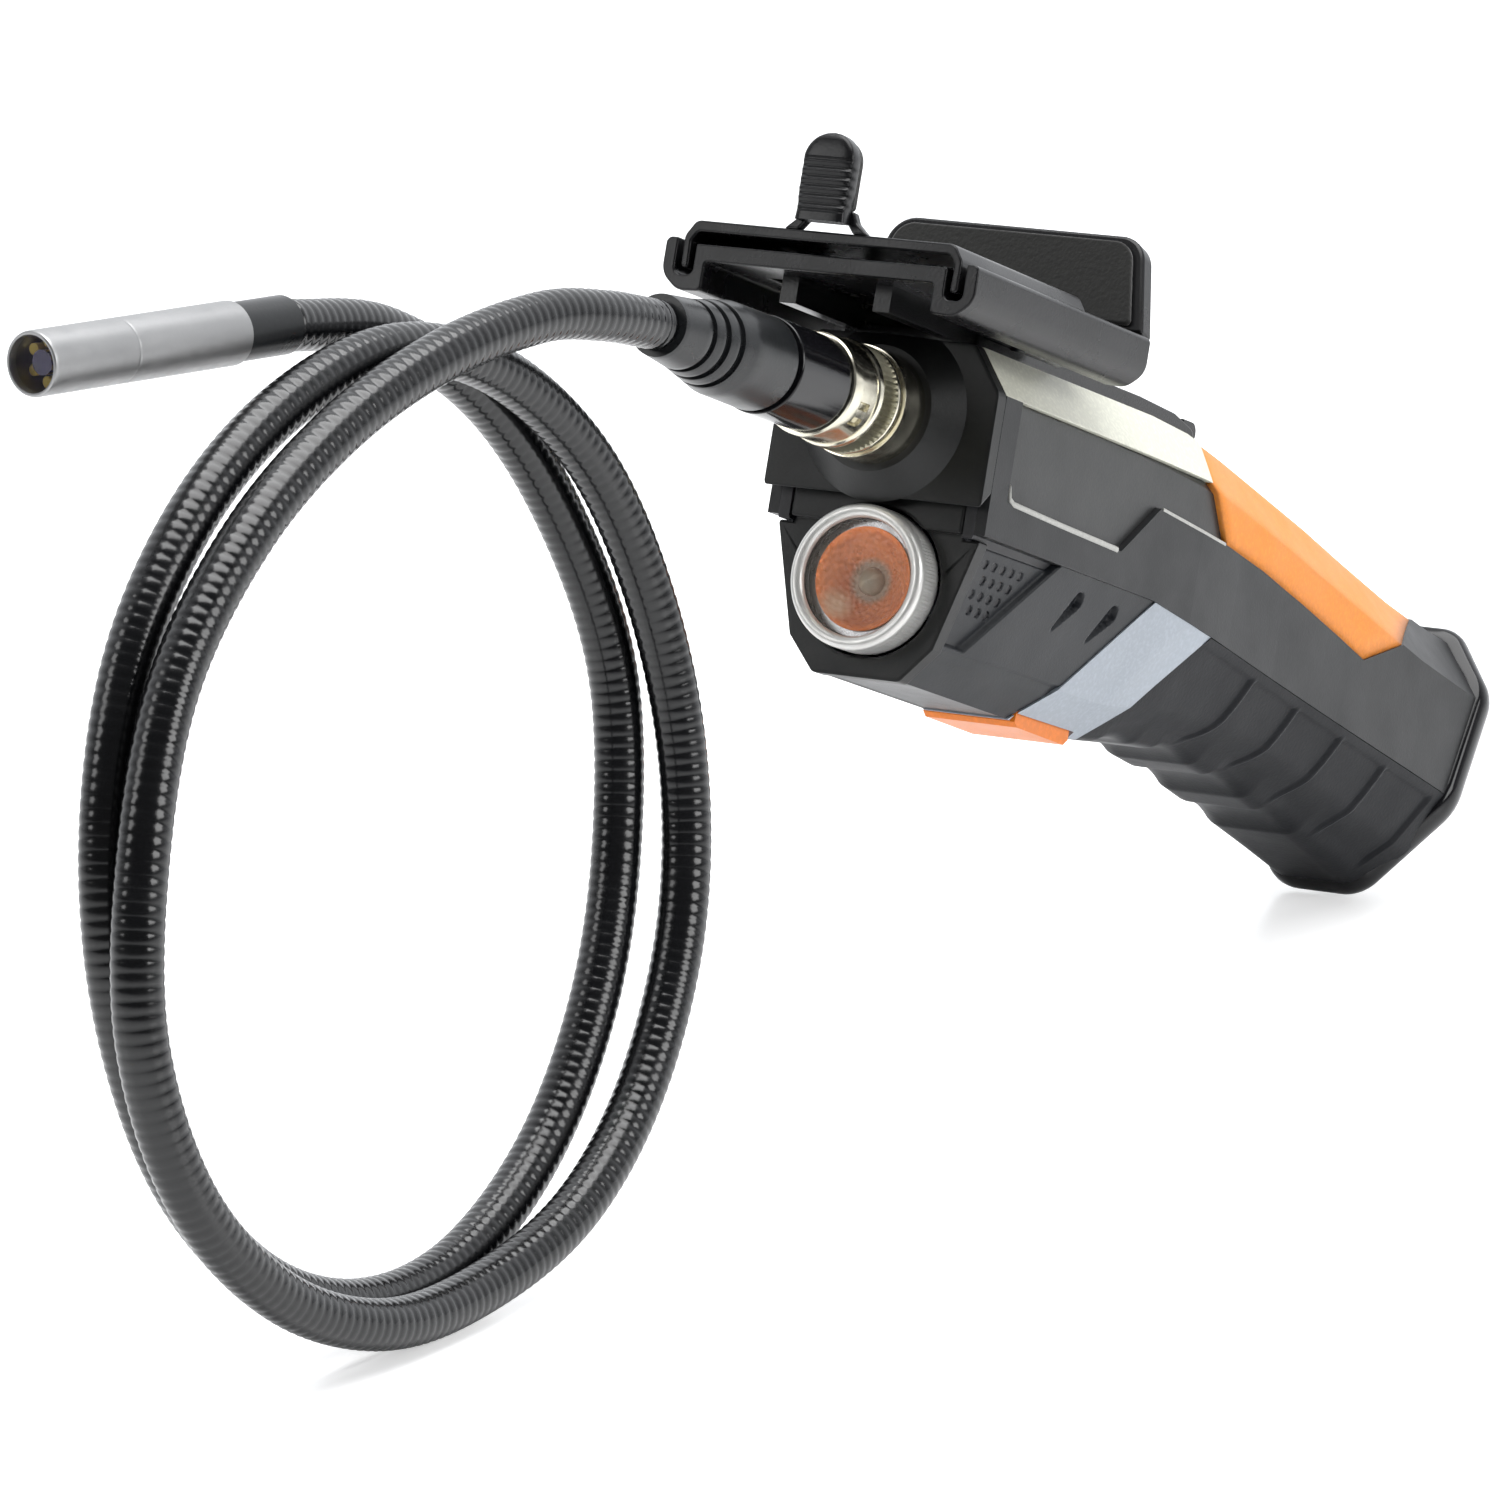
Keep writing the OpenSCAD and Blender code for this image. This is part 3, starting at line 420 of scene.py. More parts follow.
def route_points(step):
    pts = [Vector(p) for p in ROUTE]
    pts = [pts[0] * 2 - pts[1]] + pts + [pts[-1] * 2 - pts[-2]]
    dense = []
    for i in range(1, len(pts) - 2):
        a, b, c, d = pts[i - 1:i + 3]
        for k in range(60):
            t = k / 60
            dense.append(0.5 * (2 * b + (c - a) * t + (2 * a - 5 * b + 4 * c - d) * t * t
                                + (3 * b - a - 3 * c + d) * t ** 3))
    dense.append(pts[-2])
    out, gone = [dense[0]], 0.0
    for p, q in zip(dense, dense[1:]):
        seg = (q - p).length
        while gone + seg >= step * len(out):
            out.append(p.lerp(q, (step * len(out) - gone) / seg))
        gone += seg
    if (out[-1] - dense[-1]).length > 0.2 * step:
        out.append(dense[-1])
    return out, gone


RIB = 1.9
SLICES = 5
line, neck_len = route_points(RIB / SLICES)
SIDES = 22
loops = []
up = Vector((0, 1, 0))
for i, p in enumerate(line):
    t = (line[min(i + 1, len(line) - 1)] - line[max(i - 1, 0)]).normalized()
    side = up.cross(t).normalized()
    up = t.cross(side).normalized()
    phase = (i % SLICES) / SLICES
    r = NECK_D / 2 - 0.12 * (1 - math.sin(math.pi * phase) ** 0.8)
    if i < 2 or i > len(line) - 3:
        r = NECK_D / 2 - 0.3
    loops.append([(p + (side * math.cos(a) + up * math.sin(a)) * r) * MM
                  for a in (2 * math.pi * k / SIDES for k in range(SIDES))])
neck = piece("neck_ribbed", *rings(loops), M["neck"], "handset", "neck_jacket", ["gooseneck"], sharp=60)

# ------------------------------------------------------------ camera head
HEAD_AT = Vector(ROUTE[-1])
yaw, rise = math.radians(-8), math.radians(2.4)
HEAD_F = Vector((math.cos(rise) * math.cos(yaw), math.cos(rise) * math.sin(yaw), math.sin(rise)))
HEAD_S = Vector((0, 0, 1)).cross(HEAD_F).normalized()
HEAD_U = HEAD_F.cross(HEAD_S).normalized()


def head_lathe(profile, sides=48):
    loops = [[(HEAD_AT + HEAD_F * x + (HEAD_S * math.cos(a) + HEAD_U * math.sin(a)) * r) * MM
              for a in (2 * math.pi * k / sides for k in range(sides))] for x, r in profile]
    return wrap(loops)


barrel = [(12.0, 4.25), (12.0, 4.75), (12.15, 4.88), (12.5, 4.89), (36.9, 4.89), (37.2, 4.88),
          (37.35, 4.84), (37.5, 4.84), (37.62, 4.88), (38, 4.89), (55.2, 4.89),
          (55.5, 4.88), (55.85, 4.78), (56.0, 4.55), (55.95, 4.3), (55.5, 4.22), (53.2, 4.2), (12.6, 4.2)]
tube = piece("barrel_turned", *head_lathe(barrel, 72), M["bright"], "handset", "bright_steel",
             ["camera_barrel"], 30)

# ------------------------------------------------------------ CAD nodes: finish and edge rounding
FINISH = {
    "shell": ["left_side_band", "right_side_band"],
    "upper": ["left_upper_panel", "right_upper_panel"],
    "vent": ["left_vent_panel", "right_vent_panel"],
    "housing": ["left_housing", "right_housing", "battery_cradle"],
    "nose": ["nose_block", "socket_collar"],
    "pale": ["top_deck"],
    "stripe": ["belly_band"],
    "orange": ["back_insert"],
    "trigger": ["trigger"],
    "grip": ["grip_sleeve"],
    "gloss": ["base_cap", "plug_sleeve", "jaw_plate"],
    "black": ["strap_loop", "holder_base", "holder_foot", "rear_jaw", "claw", "trigger_switch"],
    "boot": ["plug_boot", "head_sleeve", "cap_gasket", "light_seal"],
    "foam": ["claw_pad", "rear_pad"],
    "steel": ["cap_screws", "housing_screws", "trigger_pin", "trigger_spring", "holder_screws", "jaw_springs",
              "radio_module", "battery_contacts", "light_body"],
    "white_board": ["light_board"],
    "board": ["main_board", "camera_board"],
    "wrap": ["battery_cells"],
    "copper": ["light_reflector"],
    "glass": ["light_lens"],
    "alu": ["light_bezel"],
    "nickel": ["panel_socket", "coupling_nut", "plug_core"],
    "bright": ["camera_barrel"],
    "optic": ["camera_lens"],
    "lamp": ["camera_lamps"],
    "window": ["camera_window"],
}
ROUND = {
    "left_side_band": 0.8, "right_side_band": 0.8, "left_upper_panel": 0.7, "right_upper_panel": 0.7,
    "top_deck": 0.4, "belly_band": 0.4, "back_insert": 2.6, "nose_block": 0.6, "socket_collar": 0.4,
    "trigger": 0.7, "holder_foot": 0.3, "jaw_plate": 0.4, "rear_jaw": 0.7, "claw": 0.35, "plug_boot": 0.25,
    "plug_sleeve": 0.35, "camera_barrel": 0.25, "head_sleeve": 0.4, "strap_loop": 0.1, "rear_pad": 0.25,
    "cap_screws": 0.15, "housing_screws": 0.15, "panel_socket": 0.25,
}
for key, names in FINISH.items():
    for name in names:
        o = CAD[name]
        o.data.materials.clear()
        o.data.materials.append(M[key])
        weld = o.modifiers.new("weld", "WELD")
        weld.merge_threshold = 0.000004
        if name in ROUND:
            bevel(o, ROUND[name], 3)
        flat = o.modifiers.new("shade", "WEIGHTED_NORMAL")
        flat.keep_sharp = True

# ------------------------------------------------------------ sections of the body
# x; heights of the top, its edge, the seam, the lower corner and the belly; half widths at the edge and seam,
# the top, the lower corner and the belly
SECTIONS = [
    (2, 12.5, 5, -18, -37, -43, 20, 14.4, 13.4, 8),
    (-45, 12.5, 5, -18, -37, -43.5, 20, 14.4, 13.4, 8),
    (-68, 12.5, 4.5, -18.5, -37, -43.5, 20, 14.4, 13.6, 8),
    (-83, 12, 3.5, -20, -35.5, -42, 20, 14, 14, 8),
    (-100, 10.2, 1.5, -21.8, -33.5, -40, 19.6, 13, 14.5, 8),
    (-120, 7.6, -1.5, -24.2, -34, -41, 19.3, 12, 15, 8),
    (-140, 4.7, -5, -26.6, -36.5, -43.5, 19.3, 11.5, 15, 8),
    (-160, 1.4, -8.5, -29, -39.5, -46.8, 19.5, 11, 15, 8),
    (-180, -2, -12, -31.4, -42.5, -50.2, 19.8, 11, 15, 7.6),
    (-200, -4.6, -14.6, -33.8, -45.5, -54, 20, 11, 14.8, 7.4),
    (-225, -6.6, -16.6, -36, -49.5, -59.5, 20, 11, 14.8, 7.4)]


def section(x):
    """Heights and half widths of the body at x, with soft turns between the stations."""
    for a, b in zip(SECTIONS, SECTIONS[1:]):
        if x >= b[0]:
            t = min(1.0, max(0.0, (x - a[0]) / (b[0] - a[0])))
            return [lerp(p, q, t) for p, q in zip(a, b)]
    return list(SECTIONS[-1])


def soft_section(x):
    near = [section(x + d) for d in (-9, -4.5, 0, 4.5, 9)]
    return [sum(c) / len(c) for c in zip(*near)]


def across(points, spacing):
    """Points along a polyline, evenly spaced, both ends kept."""
    pts = [Vector(p) for p in points]
    total = sum((b - a).length for a, b in zip(pts, pts[1:]))
    count = max(2, round(total / spacing))
    out, seg, gone = [], 0, 0.0
    for i in range(count + 1):
        want = total * i / count
        while seg < len(pts) - 2 and gone + (pts[seg + 1] - pts[seg]).length < want:
            gone += (pts[seg + 1] - pts[seg]).length
            seg += 1
        a, b = pts[seg], pts[seg + 1]
        out.append(a.lerp(b, min(1.0, (want - gone) / (b - a).length)))
    return out


def skin(name, grid, inner, mat, body, slot, replaces=(), sharp=40):
    """A closed skin between two grids of points of the same size."""
    nu, nv = len(grid), len(grid[0])
    verts = [v for row in grid for v in row] + [v for row in inner for v in row]
    off = nu * nv
    faces = []
    for i in range(nu - 1):
        for k in range(nv - 1):
            q = (i * nv + k, i * nv + k + 1, (i + 1) * nv + k + 1, (i + 1) * nv + k)
            faces += [q, tuple(off + w for w in reversed(q))]
    rim = [(i * nv) for i in range(nu)] + [(nu - 1) * nv + k for k in range(1, nv)]
    rim += [i * nv + nv - 1 for i in range(nu - 2, -1, -1)] + [k for k in range(nv - 2, 0, -1)]
    for a, b in zip(rim, rim[1:] + rim[:1]):
        faces.append((a, b, b + off, a + off))
    return piece(name, verts, faces, mat, body, slot, replaces, sharp)


# ------------------------------------------------------------ grip with its recessed panels
GRIP_TOPS = [(-94, -21.1), (-115, -23.4), (-134.5, -25.8), (-154.4, -28.2), (-173.6, -31), (-195.6, -32.8)]
GRIP_LOW = [(-87, -38.4), (-106.4, -41.7), (-125.2, -44.8), (-143.2, -48.6), (-162.6, -53), (-190.0, -47.0)]
FINGERS = [(-88, -56), (-109, -54.5), (-131, -56.5), (-153, -60)]


def divider(k, z):
    """Where divider k of the grip runs at height z, bowed towards the rear."""
    (x0, z0), (x1, z1) = GRIP_TOPS[k], GRIP_LOW[k]
    t = (z - z0) / (z1 - z0)
    return lerp(x0, x1, t) - 2.2 * math.sin(math.pi * min(1.0, max(0.0, t))) * (k < 5)


def grip_depth(x, z, seam_z):
    """How deep the grip's surface lies below the outer skin."""
    best = 0.0
    for k in range(5):
        x1, x0 = divider(k, z), divider(k + 1, z)
        into = min(x1 - 0.35 - x if k else 99, x - x0 - 0.35, seam_z - 1.5 - z)
        best = max(best, 0.6 * smooth(0.0, 0.7, into))
    return best


def lift(x, belly):
    """How far the finger hollows raise the belly."""
    up_by = 0.0
    for cx, cz in FINGERS:
        d = abs(x - cx)
        if d < 16:
            up_by = max(up_by, cz + math.sqrt(256 - d * d) - belly)
    return up_by


def base_x(z, inset=0.0):
    """Where the base plane, moved in by inset, lies at height z."""
    return -213.7 - 0.3797 * (z + 4.7) + inset / 0.935


GRIP_STATIONS = 210
GRIP_ROWS = 64
RUBBER = 1.6


def grip_half(x):
    """Half of the grip's outline at x, from the seam under the band down to the belly's middle."""
    s = soft_section(x)
    corners = [(s[6], section(x)[3] - 0.15), (s[8], s[4]), (s[9], s[5]), (0, s[5])]
    return [Vector(p) for p in fillet(corners, (0, 6, 5, 0), 8)]


def walk(pts, part):
    """The point a given part of the way along a polyline."""
    want, gone = part * sum((b - a).length for a, b in zip(pts, pts[1:])), 0.0
    for a, b in zip(pts, pts[1:]):
        seg = (b - a).length
        if gone + seg >= want - 1e-9 and seg > 0:
            return a.lerp(b, (want - gone) / seg)
        gone += seg
    return pts[-1]


def grip_front(z):
    """The grip's slanted front edge at height z."""
    return -93 + (min(-21.0, z) + 21) / -22.2 * 21.5


grid, inner = [], []
for u in range(GRIP_STATIONS + 1):
    row, row_in = [], []
    t = u / GRIP_STATIONS
    half = across(grip_half(lerp(-82, base_x(-45, 2), t)), 0.62)
    starts = across(half, sum((b - a).length for a, b in zip(half, half[1:])) / GRIP_ROWS)
    for k, p in enumerate(starts):
        x = lerp(grip_front(p.y), base_x(p.y, 1.2), t)
        for _ in range(2):
            s = soft_section(x)
            q = walk(grip_half(x), k / GRIP_ROWS)
            z = q.y
            x = lerp(grip_front(z), base_x(z, 1.2), t)
        seam_z = section(x)[3]
        depth = grip_depth(x, z, seam_z) * (1 - smooth(s[4] - 3.5, s[4] - 6.5, z)) if z < seam_z else 0
        flank = Vector((abs(seam_z - s[4]), (s[6] - s[8]))).normalized()
        up_by = 0.6 * lift(x, s[5]) * smooth(s[4] - 1.5, s[5] + 0.3, z)
        y = q.x - depth * flank.x
        z2 = z + depth * 0.25 + up_by
        row.append((x, y, z2))
        row_in.append((x, max(0.0, y - RUBBER), z2 + (RUBBER if q.x < s[9] + 3 else 0.5)))
    grid.append([P(x, y, z) for x, y, z in row] + [P(x, -y, z) for x, y, z in reversed(row[:-1])])
    inner.append([P(x, y, z) for x, y, z in row_in] + [P(x, -y, z) for x, y, z in reversed(row_in[:-1])])
skin("grip_rubber", grid, inner, M["grip"], "handset", "grip_rubber", ["grip_sleeve"], 50)

# ------------------------------------------------------------ vent panels
# first hole's x, height, and how many holes run back from it
VENT_ROWS = [(-11.0, -22.3, 5), (-12.6, -24.8, 4), (-11.2, -27.3, 4), (-12.9, -29.8, 3)]
VENT_PITCH = 3.2
# head and tail of the drop-shaped slots
DROPS = [((-44.1, -22.9), (-39.8, -28.7)), ((-57.4, -23.1), (-52.8, -28.7))]
VENT_FRONT = -4.6


def vent_depth(x, z):
    """Depth of the recessed corner, its round holes and the two drop-shaped slots."""
    front = x + 31.3 - 0.99 * (-19.9 - z)
    recess = smooth(-0.4, 0.4, front) * smooth(-36.3, -35.7, z)
    deep = (1.2 + 0.7 * smooth(-20.3, -19.5, z)) * recess
    for first, height, count in VENT_ROWS:
        for k in range(count):
            d = math.hypot((x - first + VENT_PITCH * k) / 1.25, z - height)
            deep += 1.3 * (1 - smooth(0.45, 0.75, d))
    for head, tail in DROPS:
        axis = Vector(tail) - Vector(head)
        reach = axis.length
        axis.normalize()
        rx, rz = x - head[0], z - head[1]
        along, off = rx * axis.x + rz * axis.y, abs(rz * axis.x - rx * axis.y)
        if -2 < along < reach + 1:
            width = lerp(1.75, 0.3, max(0.0, along) / reach)
            inside = width - math.hypot(off, min(0.0, along))
            deep += (lerp(1.2, 0.35, max(0.0, along) / reach) * smooth(0.0, 0.35, inside)
                     * (1 - smooth(reach - 1.2, reach, along)))
    return deep


def stripe_x(z):
    return -69.3 + (min(-18.6, z) + 18.6) / -24.4 * 23.8


VENT_COLUMNS = 250
# rows of the mesh down to the lower corner, to the belly, and to the middle
CORNER_ROW, BELLY_ROW, LAST_ROW = 92, 106, 116
VENT_TOP, CORNER_Z, BELLY_Z = -18.05, -37, -43.3
VENT_WALL = 1.2


def vent_piece(name, side, cad):
    grid, inner = [], []
    for u in range(VENT_COLUMNS + 1):
        row, row_in = [], []
        t = u / VENT_COLUMNS
        for k in range(LAST_ROW + 1):
            down = k / CORNER_ROW
            under = (k - CORNER_ROW) / (BELLY_ROW - CORNER_ROW)
            if k <= CORNER_ROW:
                z_guess = lerp(VENT_TOP, CORNER_Z, min(1.0, down))
            else:
                z_guess = lerp(CORNER_Z, BELLY_Z, min(1.0, under))
            x = lerp(VENT_FRONT, stripe_x(z_guess), t)
            s = section(x)
            if k <= CORNER_ROW:
                y, z = lerp(s[6], s[8], down), lerp(s[3] - 0.05, s[4], down)
                n = Vector((18.5, 6.5)).normalized()
            elif k <= BELLY_ROW:
                y, z = lerp(s[8], s[9], under), lerp(s[4], s[5], under)
                n = Vector((6.3, 5.4)).normalized()
            else:
                y, z = lerp(s[9], 0.02, (k - BELLY_ROW) / (LAST_ROW - BELLY_ROW)), s[5]
                n = Vector((0, 1))
            if CORNER_ROW - 4 < k < CORNER_ROW + 4:
                n = Vector((17.25, lerp(6.5, 11, (k - CORNER_ROW + 4) / 8))).normalized()
            d = 0.5 + 0.5 * (1 - smooth(0.0, 0.6, VENT_FRONT - x))
            if k <= CORNER_ROW:
                d += vent_depth(x, z)
            if k < CORNER_ROW + 8:
                d += 0.35 * math.exp(-((k - CORNER_ROW) / 2.2) ** 2)
            row.append(P(x, side * max(0.0, y - n.x * d), z + n.y * d))
            back = d + VENT_WALL
            row_in.append(P(x, side * max(0.0, y - n.x * back), z + n.y * back))
        grid.append(row)
        inner.append(row_in)
    return skin(name, grid, inner, M["vent"], "handset", "dark_plastic", [cad], 50)


vent_piece("vent_left", 1, "left_vent_panel")
vent_piece("vent_right", -1, "right_vent_panel")

# ------------------------------------------------------------ pale beads along the step under the upper panels, their pale colour a painted highlight
STEP_EDGES = [[(-9.3, -9.0), (-10.2, -11.4), (-30, -11.98), (-51.5, -12.45)],
              [(-66.2, -3.25), (-80, -4.17), (-92.5, -5.0)]]


def step_edge(name, side, path, r):
    loops = []
    for x, z in across(path, 2.0):
        y = section(x)[6] - 0.12
        loops.append([P(x, side * (y + r * 0.7 * math.cos(a)), z + r * math.sin(a))
                      for a in (2 * math.pi * k / 10 for k in range(10))])
    piece(name, *rings(loops), M["edge"], "handset", "grey_shell", [], 70)


for label, side in (("left", 1), ("right", -1)):
    for k, path in enumerate(STEP_EDGES):
        step_edge(f"step_edge_{label}_{k}", side, path, (0.5, 0.32)[k])

# ------------------------------------------------------------ base cap: a rounded bead round the base
TOP = (-213.7, -4.7)
BASE_T = math.radians(20.8)


def on_base(out, y, up_by):
    """A point on the base plane: distance outward, across, and up the plane, in mm."""
    return P(TOP[0] - out * math.cos(BASE_T) + up_by * -math.sin(BASE_T), y,
             TOP[1] + up_by * math.cos(BASE_T) - out * math.sin(BASE_T))


def base_ring(out, grow):
    g = grow
    half = [(11 + 0.6 * g, g), (20 + g, -10.5), (20 + g, -33.5), (7.6 + 0.5 * g, -51.7 - g)]
    pts = half + [(-y, z) for y, z in reversed(half)]
    radii = [6, 8, 11, 7, 7, 11, 8, 6]
    return [on_base(out, y, z) for y, z in fillet(pts, radii, 7)]


CAP = [(-4.3, -2.2), (-4.3, 0.15), (-3.9, 0.7), (-3.1, 1.15), (-1.9, 1.35), (-0.6, 1.3), (0.5, 1.0), (1.2, 0.3),
       (1.55, -0.7), (1.6, -1.8), (1.6, -4.2), (1.15, -4.7), (1.1, -6.0)]
cap_verts, cap_faces = rings([base_ring(o, g) for o, g in CAP])
piece("base_bead", cap_verts, cap_faces, M["gloss"], "handset", "black_gloss", ["base_cap"], 60)

# ------------------------------------------------------------ coupling nut
def knurl(x, r, a):
    if 13.0 < x < 17.9 and r > 8.9:
        fade = smooth(13.0, 13.4, x) * (1 - smooth(17.5, 17.9, x))
        return -0.5 * fade * abs(math.sin(30 * a))
    if 21.2 < x < 24.4 and 8.3 < r:
        for mid in (1.86, 2.18, 1.86 + math.pi, 2.18 + math.pi):
            if abs((a - mid + math.pi) % (2 * math.pi) - math.pi) < 0.075:
                return -0.75
    return 0


nut_profile = [(11.4, 7.1), (11.4, 8.5), (11.7, 8.85), (12.2, 9.0), (12.8, 9.0), (13.0, 8.9), (13.05, 8.3)]
nut_profile += [(17.85, 8.3), (17.95, 8.9), (18.1, 9.0), (18.9, 9.0), (19.2, 8.9), (19.4, 8.62), (21.15, 8.6)]
nut_profile += [(21.25, 8.6), (22.8, 8.6), (24.35, 8.6), (24.45, 8.6), (26.8, 8.6), (27.1, 8.5), (27.3, 8.25)]
nut_profile += [(27.3, 7.1)]
piece("nut_turned", *lathe(nut_profile, 240, 0, knurl), M["nickel"], "coupling_nut", "nickel",
      ["coupling_nut"], 30)
knurl_profile = [(13.0, 7.9), (13.0, 8.95)] + [(13.3 + 0.36 * k, 9.0) for k in range(13)]
knurl_profile += [(17.9, 8.95), (17.9, 7.9)]
piece("nut_knurl", *lathe(knurl_profile, 360, 0, knurl), M["knurl"], "coupling_nut", "nickel", [], 30)

# ------------------------------------------------------------ work light: bezel and reflector
def teeth(x, r, a):
    return -0.2 * abs(math.sin(60 * a)) * smooth(-5.0, -4.6, x) * (1 - smooth(-0.5, 0.0, x)) if r > 11.9 else 0


bezel_profile = [(-5.4, 11.25), (-5.4, 11.75), (-5.1, 12.0), (-4.6, 12.0), (-3.2, 12.0), (-1.8, 12.0),
                 (-0.5, 12.0), (0.05, 12.0), (0.5, 11.95), (0.9, 11.75), (1.15, 11.4), (1.2, 11.0),
                 (1.15, 10.5), (0.95, 10.15),
                 (0.6, 9.85), (0.06, 9.75), (0.03, 9.8), (0.03, 11.25)]
piece("bezel_knurled", *lathe(bezel_profile, 240, -LIGHT_DROP, teeth), M["alu"], "light_bezel", "aluminium",
      ["light_bezel"], 40)


def dish_verts(rows=30, sides=120):
    """The reflector's dish with its pressed facets, on a closed thin shell."""
    front, back_side = [], []
    for i in range(rows + 1):
        t = i / rows
        r = lerp(2.4, 8.58, t)
        x = -5.0 + 3.3 * t ** 1.7
        x_back = -10.1 + 7.9 * t ** 1.7
        f, b = [], []
        for k in range(sides):
            a = 2 * math.pi * k / sides
            cell = math.cos(a * 20 + (i // 3 % 2) * math.pi) * math.sin(math.pi * (i % 3) / 3 + 0.5)
            d = 0.22 * cell * smooth(0, 0.1, t) * (1 - smooth(0.93, 1.0, t))
            f.append(P(x + d, r * math.sin(a), -LIGHT_DROP + r * math.cos(a)))
            b.append(P(x_back, r * math.sin(a), -LIGHT_DROP + r * math.cos(a)))
        front.append(f)
        back_side.append(b)
    return wrap(front + back_side[::-1])


piece("reflector_dish", *dish_verts(), M["copper"], "handset", "copper_reflector", ["light_reflector"], 60)
dome = [(-10.35, 0.05), (-10.35, 2.2), (-4.6, 2.2), (-4.1, 1.9), (-3.6, 1.3), (-3.35, 0.6), (-3.3, 0.05)]
piece("lamp_dome", *lathe(dome, 40, -LIGHT_DROP), M["chip"], "handset", "lamp_yellow", [], 60)

# ------------------------------------------------------------ phone holder
def prism(name, outline, x0, x1, mat, body, slot, replaces=(), edge=0.3, sharp=30, at=P):
    loops = [[at(x, y, z) for y, z in outline] for x in (x0, x1)]
    o = piece(name, *rings(loops), mat, body, slot, replaces, sharp)
    if edge:
        bevel(o, edge, 3, 50)
    return o


rail_half = [(20.8, 17.4), (20.8, 12.6), (25.2, 12.4), (28.4, 15.0), (28.4, 21.0), (26.2, 21.0), (26.2, 15.0),
             (22.8, 15.0), (22.8, 20.2)]
rail_radii = [0.6, 0.9, 3.4, 3.6, 1.85, 0.3, 1.2, 1.2, 0.35]
outline = fillet(rail_half + [(-y, z) for y, z in reversed(rail_half)], rail_radii + rail_radii[::-1], 6)
tray = prism("holder_tray", outline, -34.5, 30, M["black"], "handset", "black_plastic", ["holder_base"], 0)


def slots_cut(target, boxes, name):
    """Cuts boxes, given as two corners in the handset's axes, out of a piece."""
    verts, faces = [], []
    for (x0, y0, z0), (x1, y1, z1) in boxes:
        b = len(verts)
        verts += [P(x, y, z) for x in (x0, x1) for y in (y0, y1) for z in (z0, z1)]
        faces += [tuple(b + i for i in f) for f in
                  ((0, 1, 3, 2), (4, 6, 7, 5), (0, 4, 5, 1), (2, 3, 7, 6), (0, 2, 6, 4), (1, 5, 7, 3))]
    tool = solid(name, verts, faces)
    mod = target.modifiers.new("cut", "BOOLEAN")
    mod.operation = "DIFFERENCE"
    mod.solver = "EXACT"
    mod.object = tool
    dg = bpy.context.evaluated_depsgraph_get()
    cut = bpy.data.meshes.new_from_object(target.evaluated_get(dg))
    target.modifiers.clear()
    target.data = cut
    bpy.data.objects.remove(tool)
    cut.set_sharp_from_angle(angle=math.radians(30))


slots_cut(tray, [((-18, s * 14.5 - 1.2, 10), (17.5, s * 14.5 + 1.2, 24)) for s in (-1, 1)], "hook_slots")
bevel(tray, 0.35, 3, 50)

SADDLE = [(-8, 12.3), (-8, 15.2), (-33, 15.2), (-37, 15.8), (-70, 15.9), (-84, 15.4), (-92, 13.8), (-93, 10.8),
          (-90, 7.5), (-72, 9.0)]
SADDLE_RADII = (0.3, 0.3, 0.5, 0.5, 4, 4, 2, 1, 0.3, 0.3)
prism("foot_saddle", fillet(SADDLE, SADDLE_RADII, 4), -10.6, 10.6, M["black"], "handset", "black_plastic", [],
      0.5, at=lambda y, x, z: P(x, y, z))

plate_half = [(0, 22.2), (17.6, 22.2), (22.9, 22.2), (23.9, 20.6), (23.75, 16.2), (25.1, 16.2), (25.2, 21.4),
              (23.4, 24.1)]
plate_radii = [0, 0, 1.2, 0.6, 0.5, 0.6, 2.0, 1.6]
half = fillet(plate_half, plate_radii, 6)[1:]
outline = half + [(-y, z) for y, z in reversed(half)]
prism("jaw_tray", outline, -16, 30, M["black"], "holder_jaw", "black_gloss", ["jaw_plate"], 0.35)
for s in (-1, 1):
    y0, y1 = s * 14.5 - 0.9, s * 14.5 + 0.9
    hook = fillet([(y0, 13.8), (y1, 13.8), (y1, 22.5), (y0, 22.5)], (0.3, 0.3, 0, 0), 3)
    prism(f"jaw_hook_{'l' if s > 0 else 'r'}", hook, -16, -13.6, M["black"], "holder_jaw", "black_gloss", [],
          0.2)
arch_half = [(7.6, 24.0), (5.4, 25.9), (4.6, 27.6)]
arch = fillet(arch_half + [(-y, z) for y, z in reversed(arch_half)]
              + [(-4.9, 24.0), (-3.5, 25.8), (3.5, 25.8), (4.9, 24.0)],
              (0, 1.2, 0.5, 0.5, 1.2, 0, 0, 0.8, 0.8, 0), 5)
prism("jaw_arch", arch, 28.0, 30.0, M["black"], "holder_jaw", "black_gloss", [], 0.4)


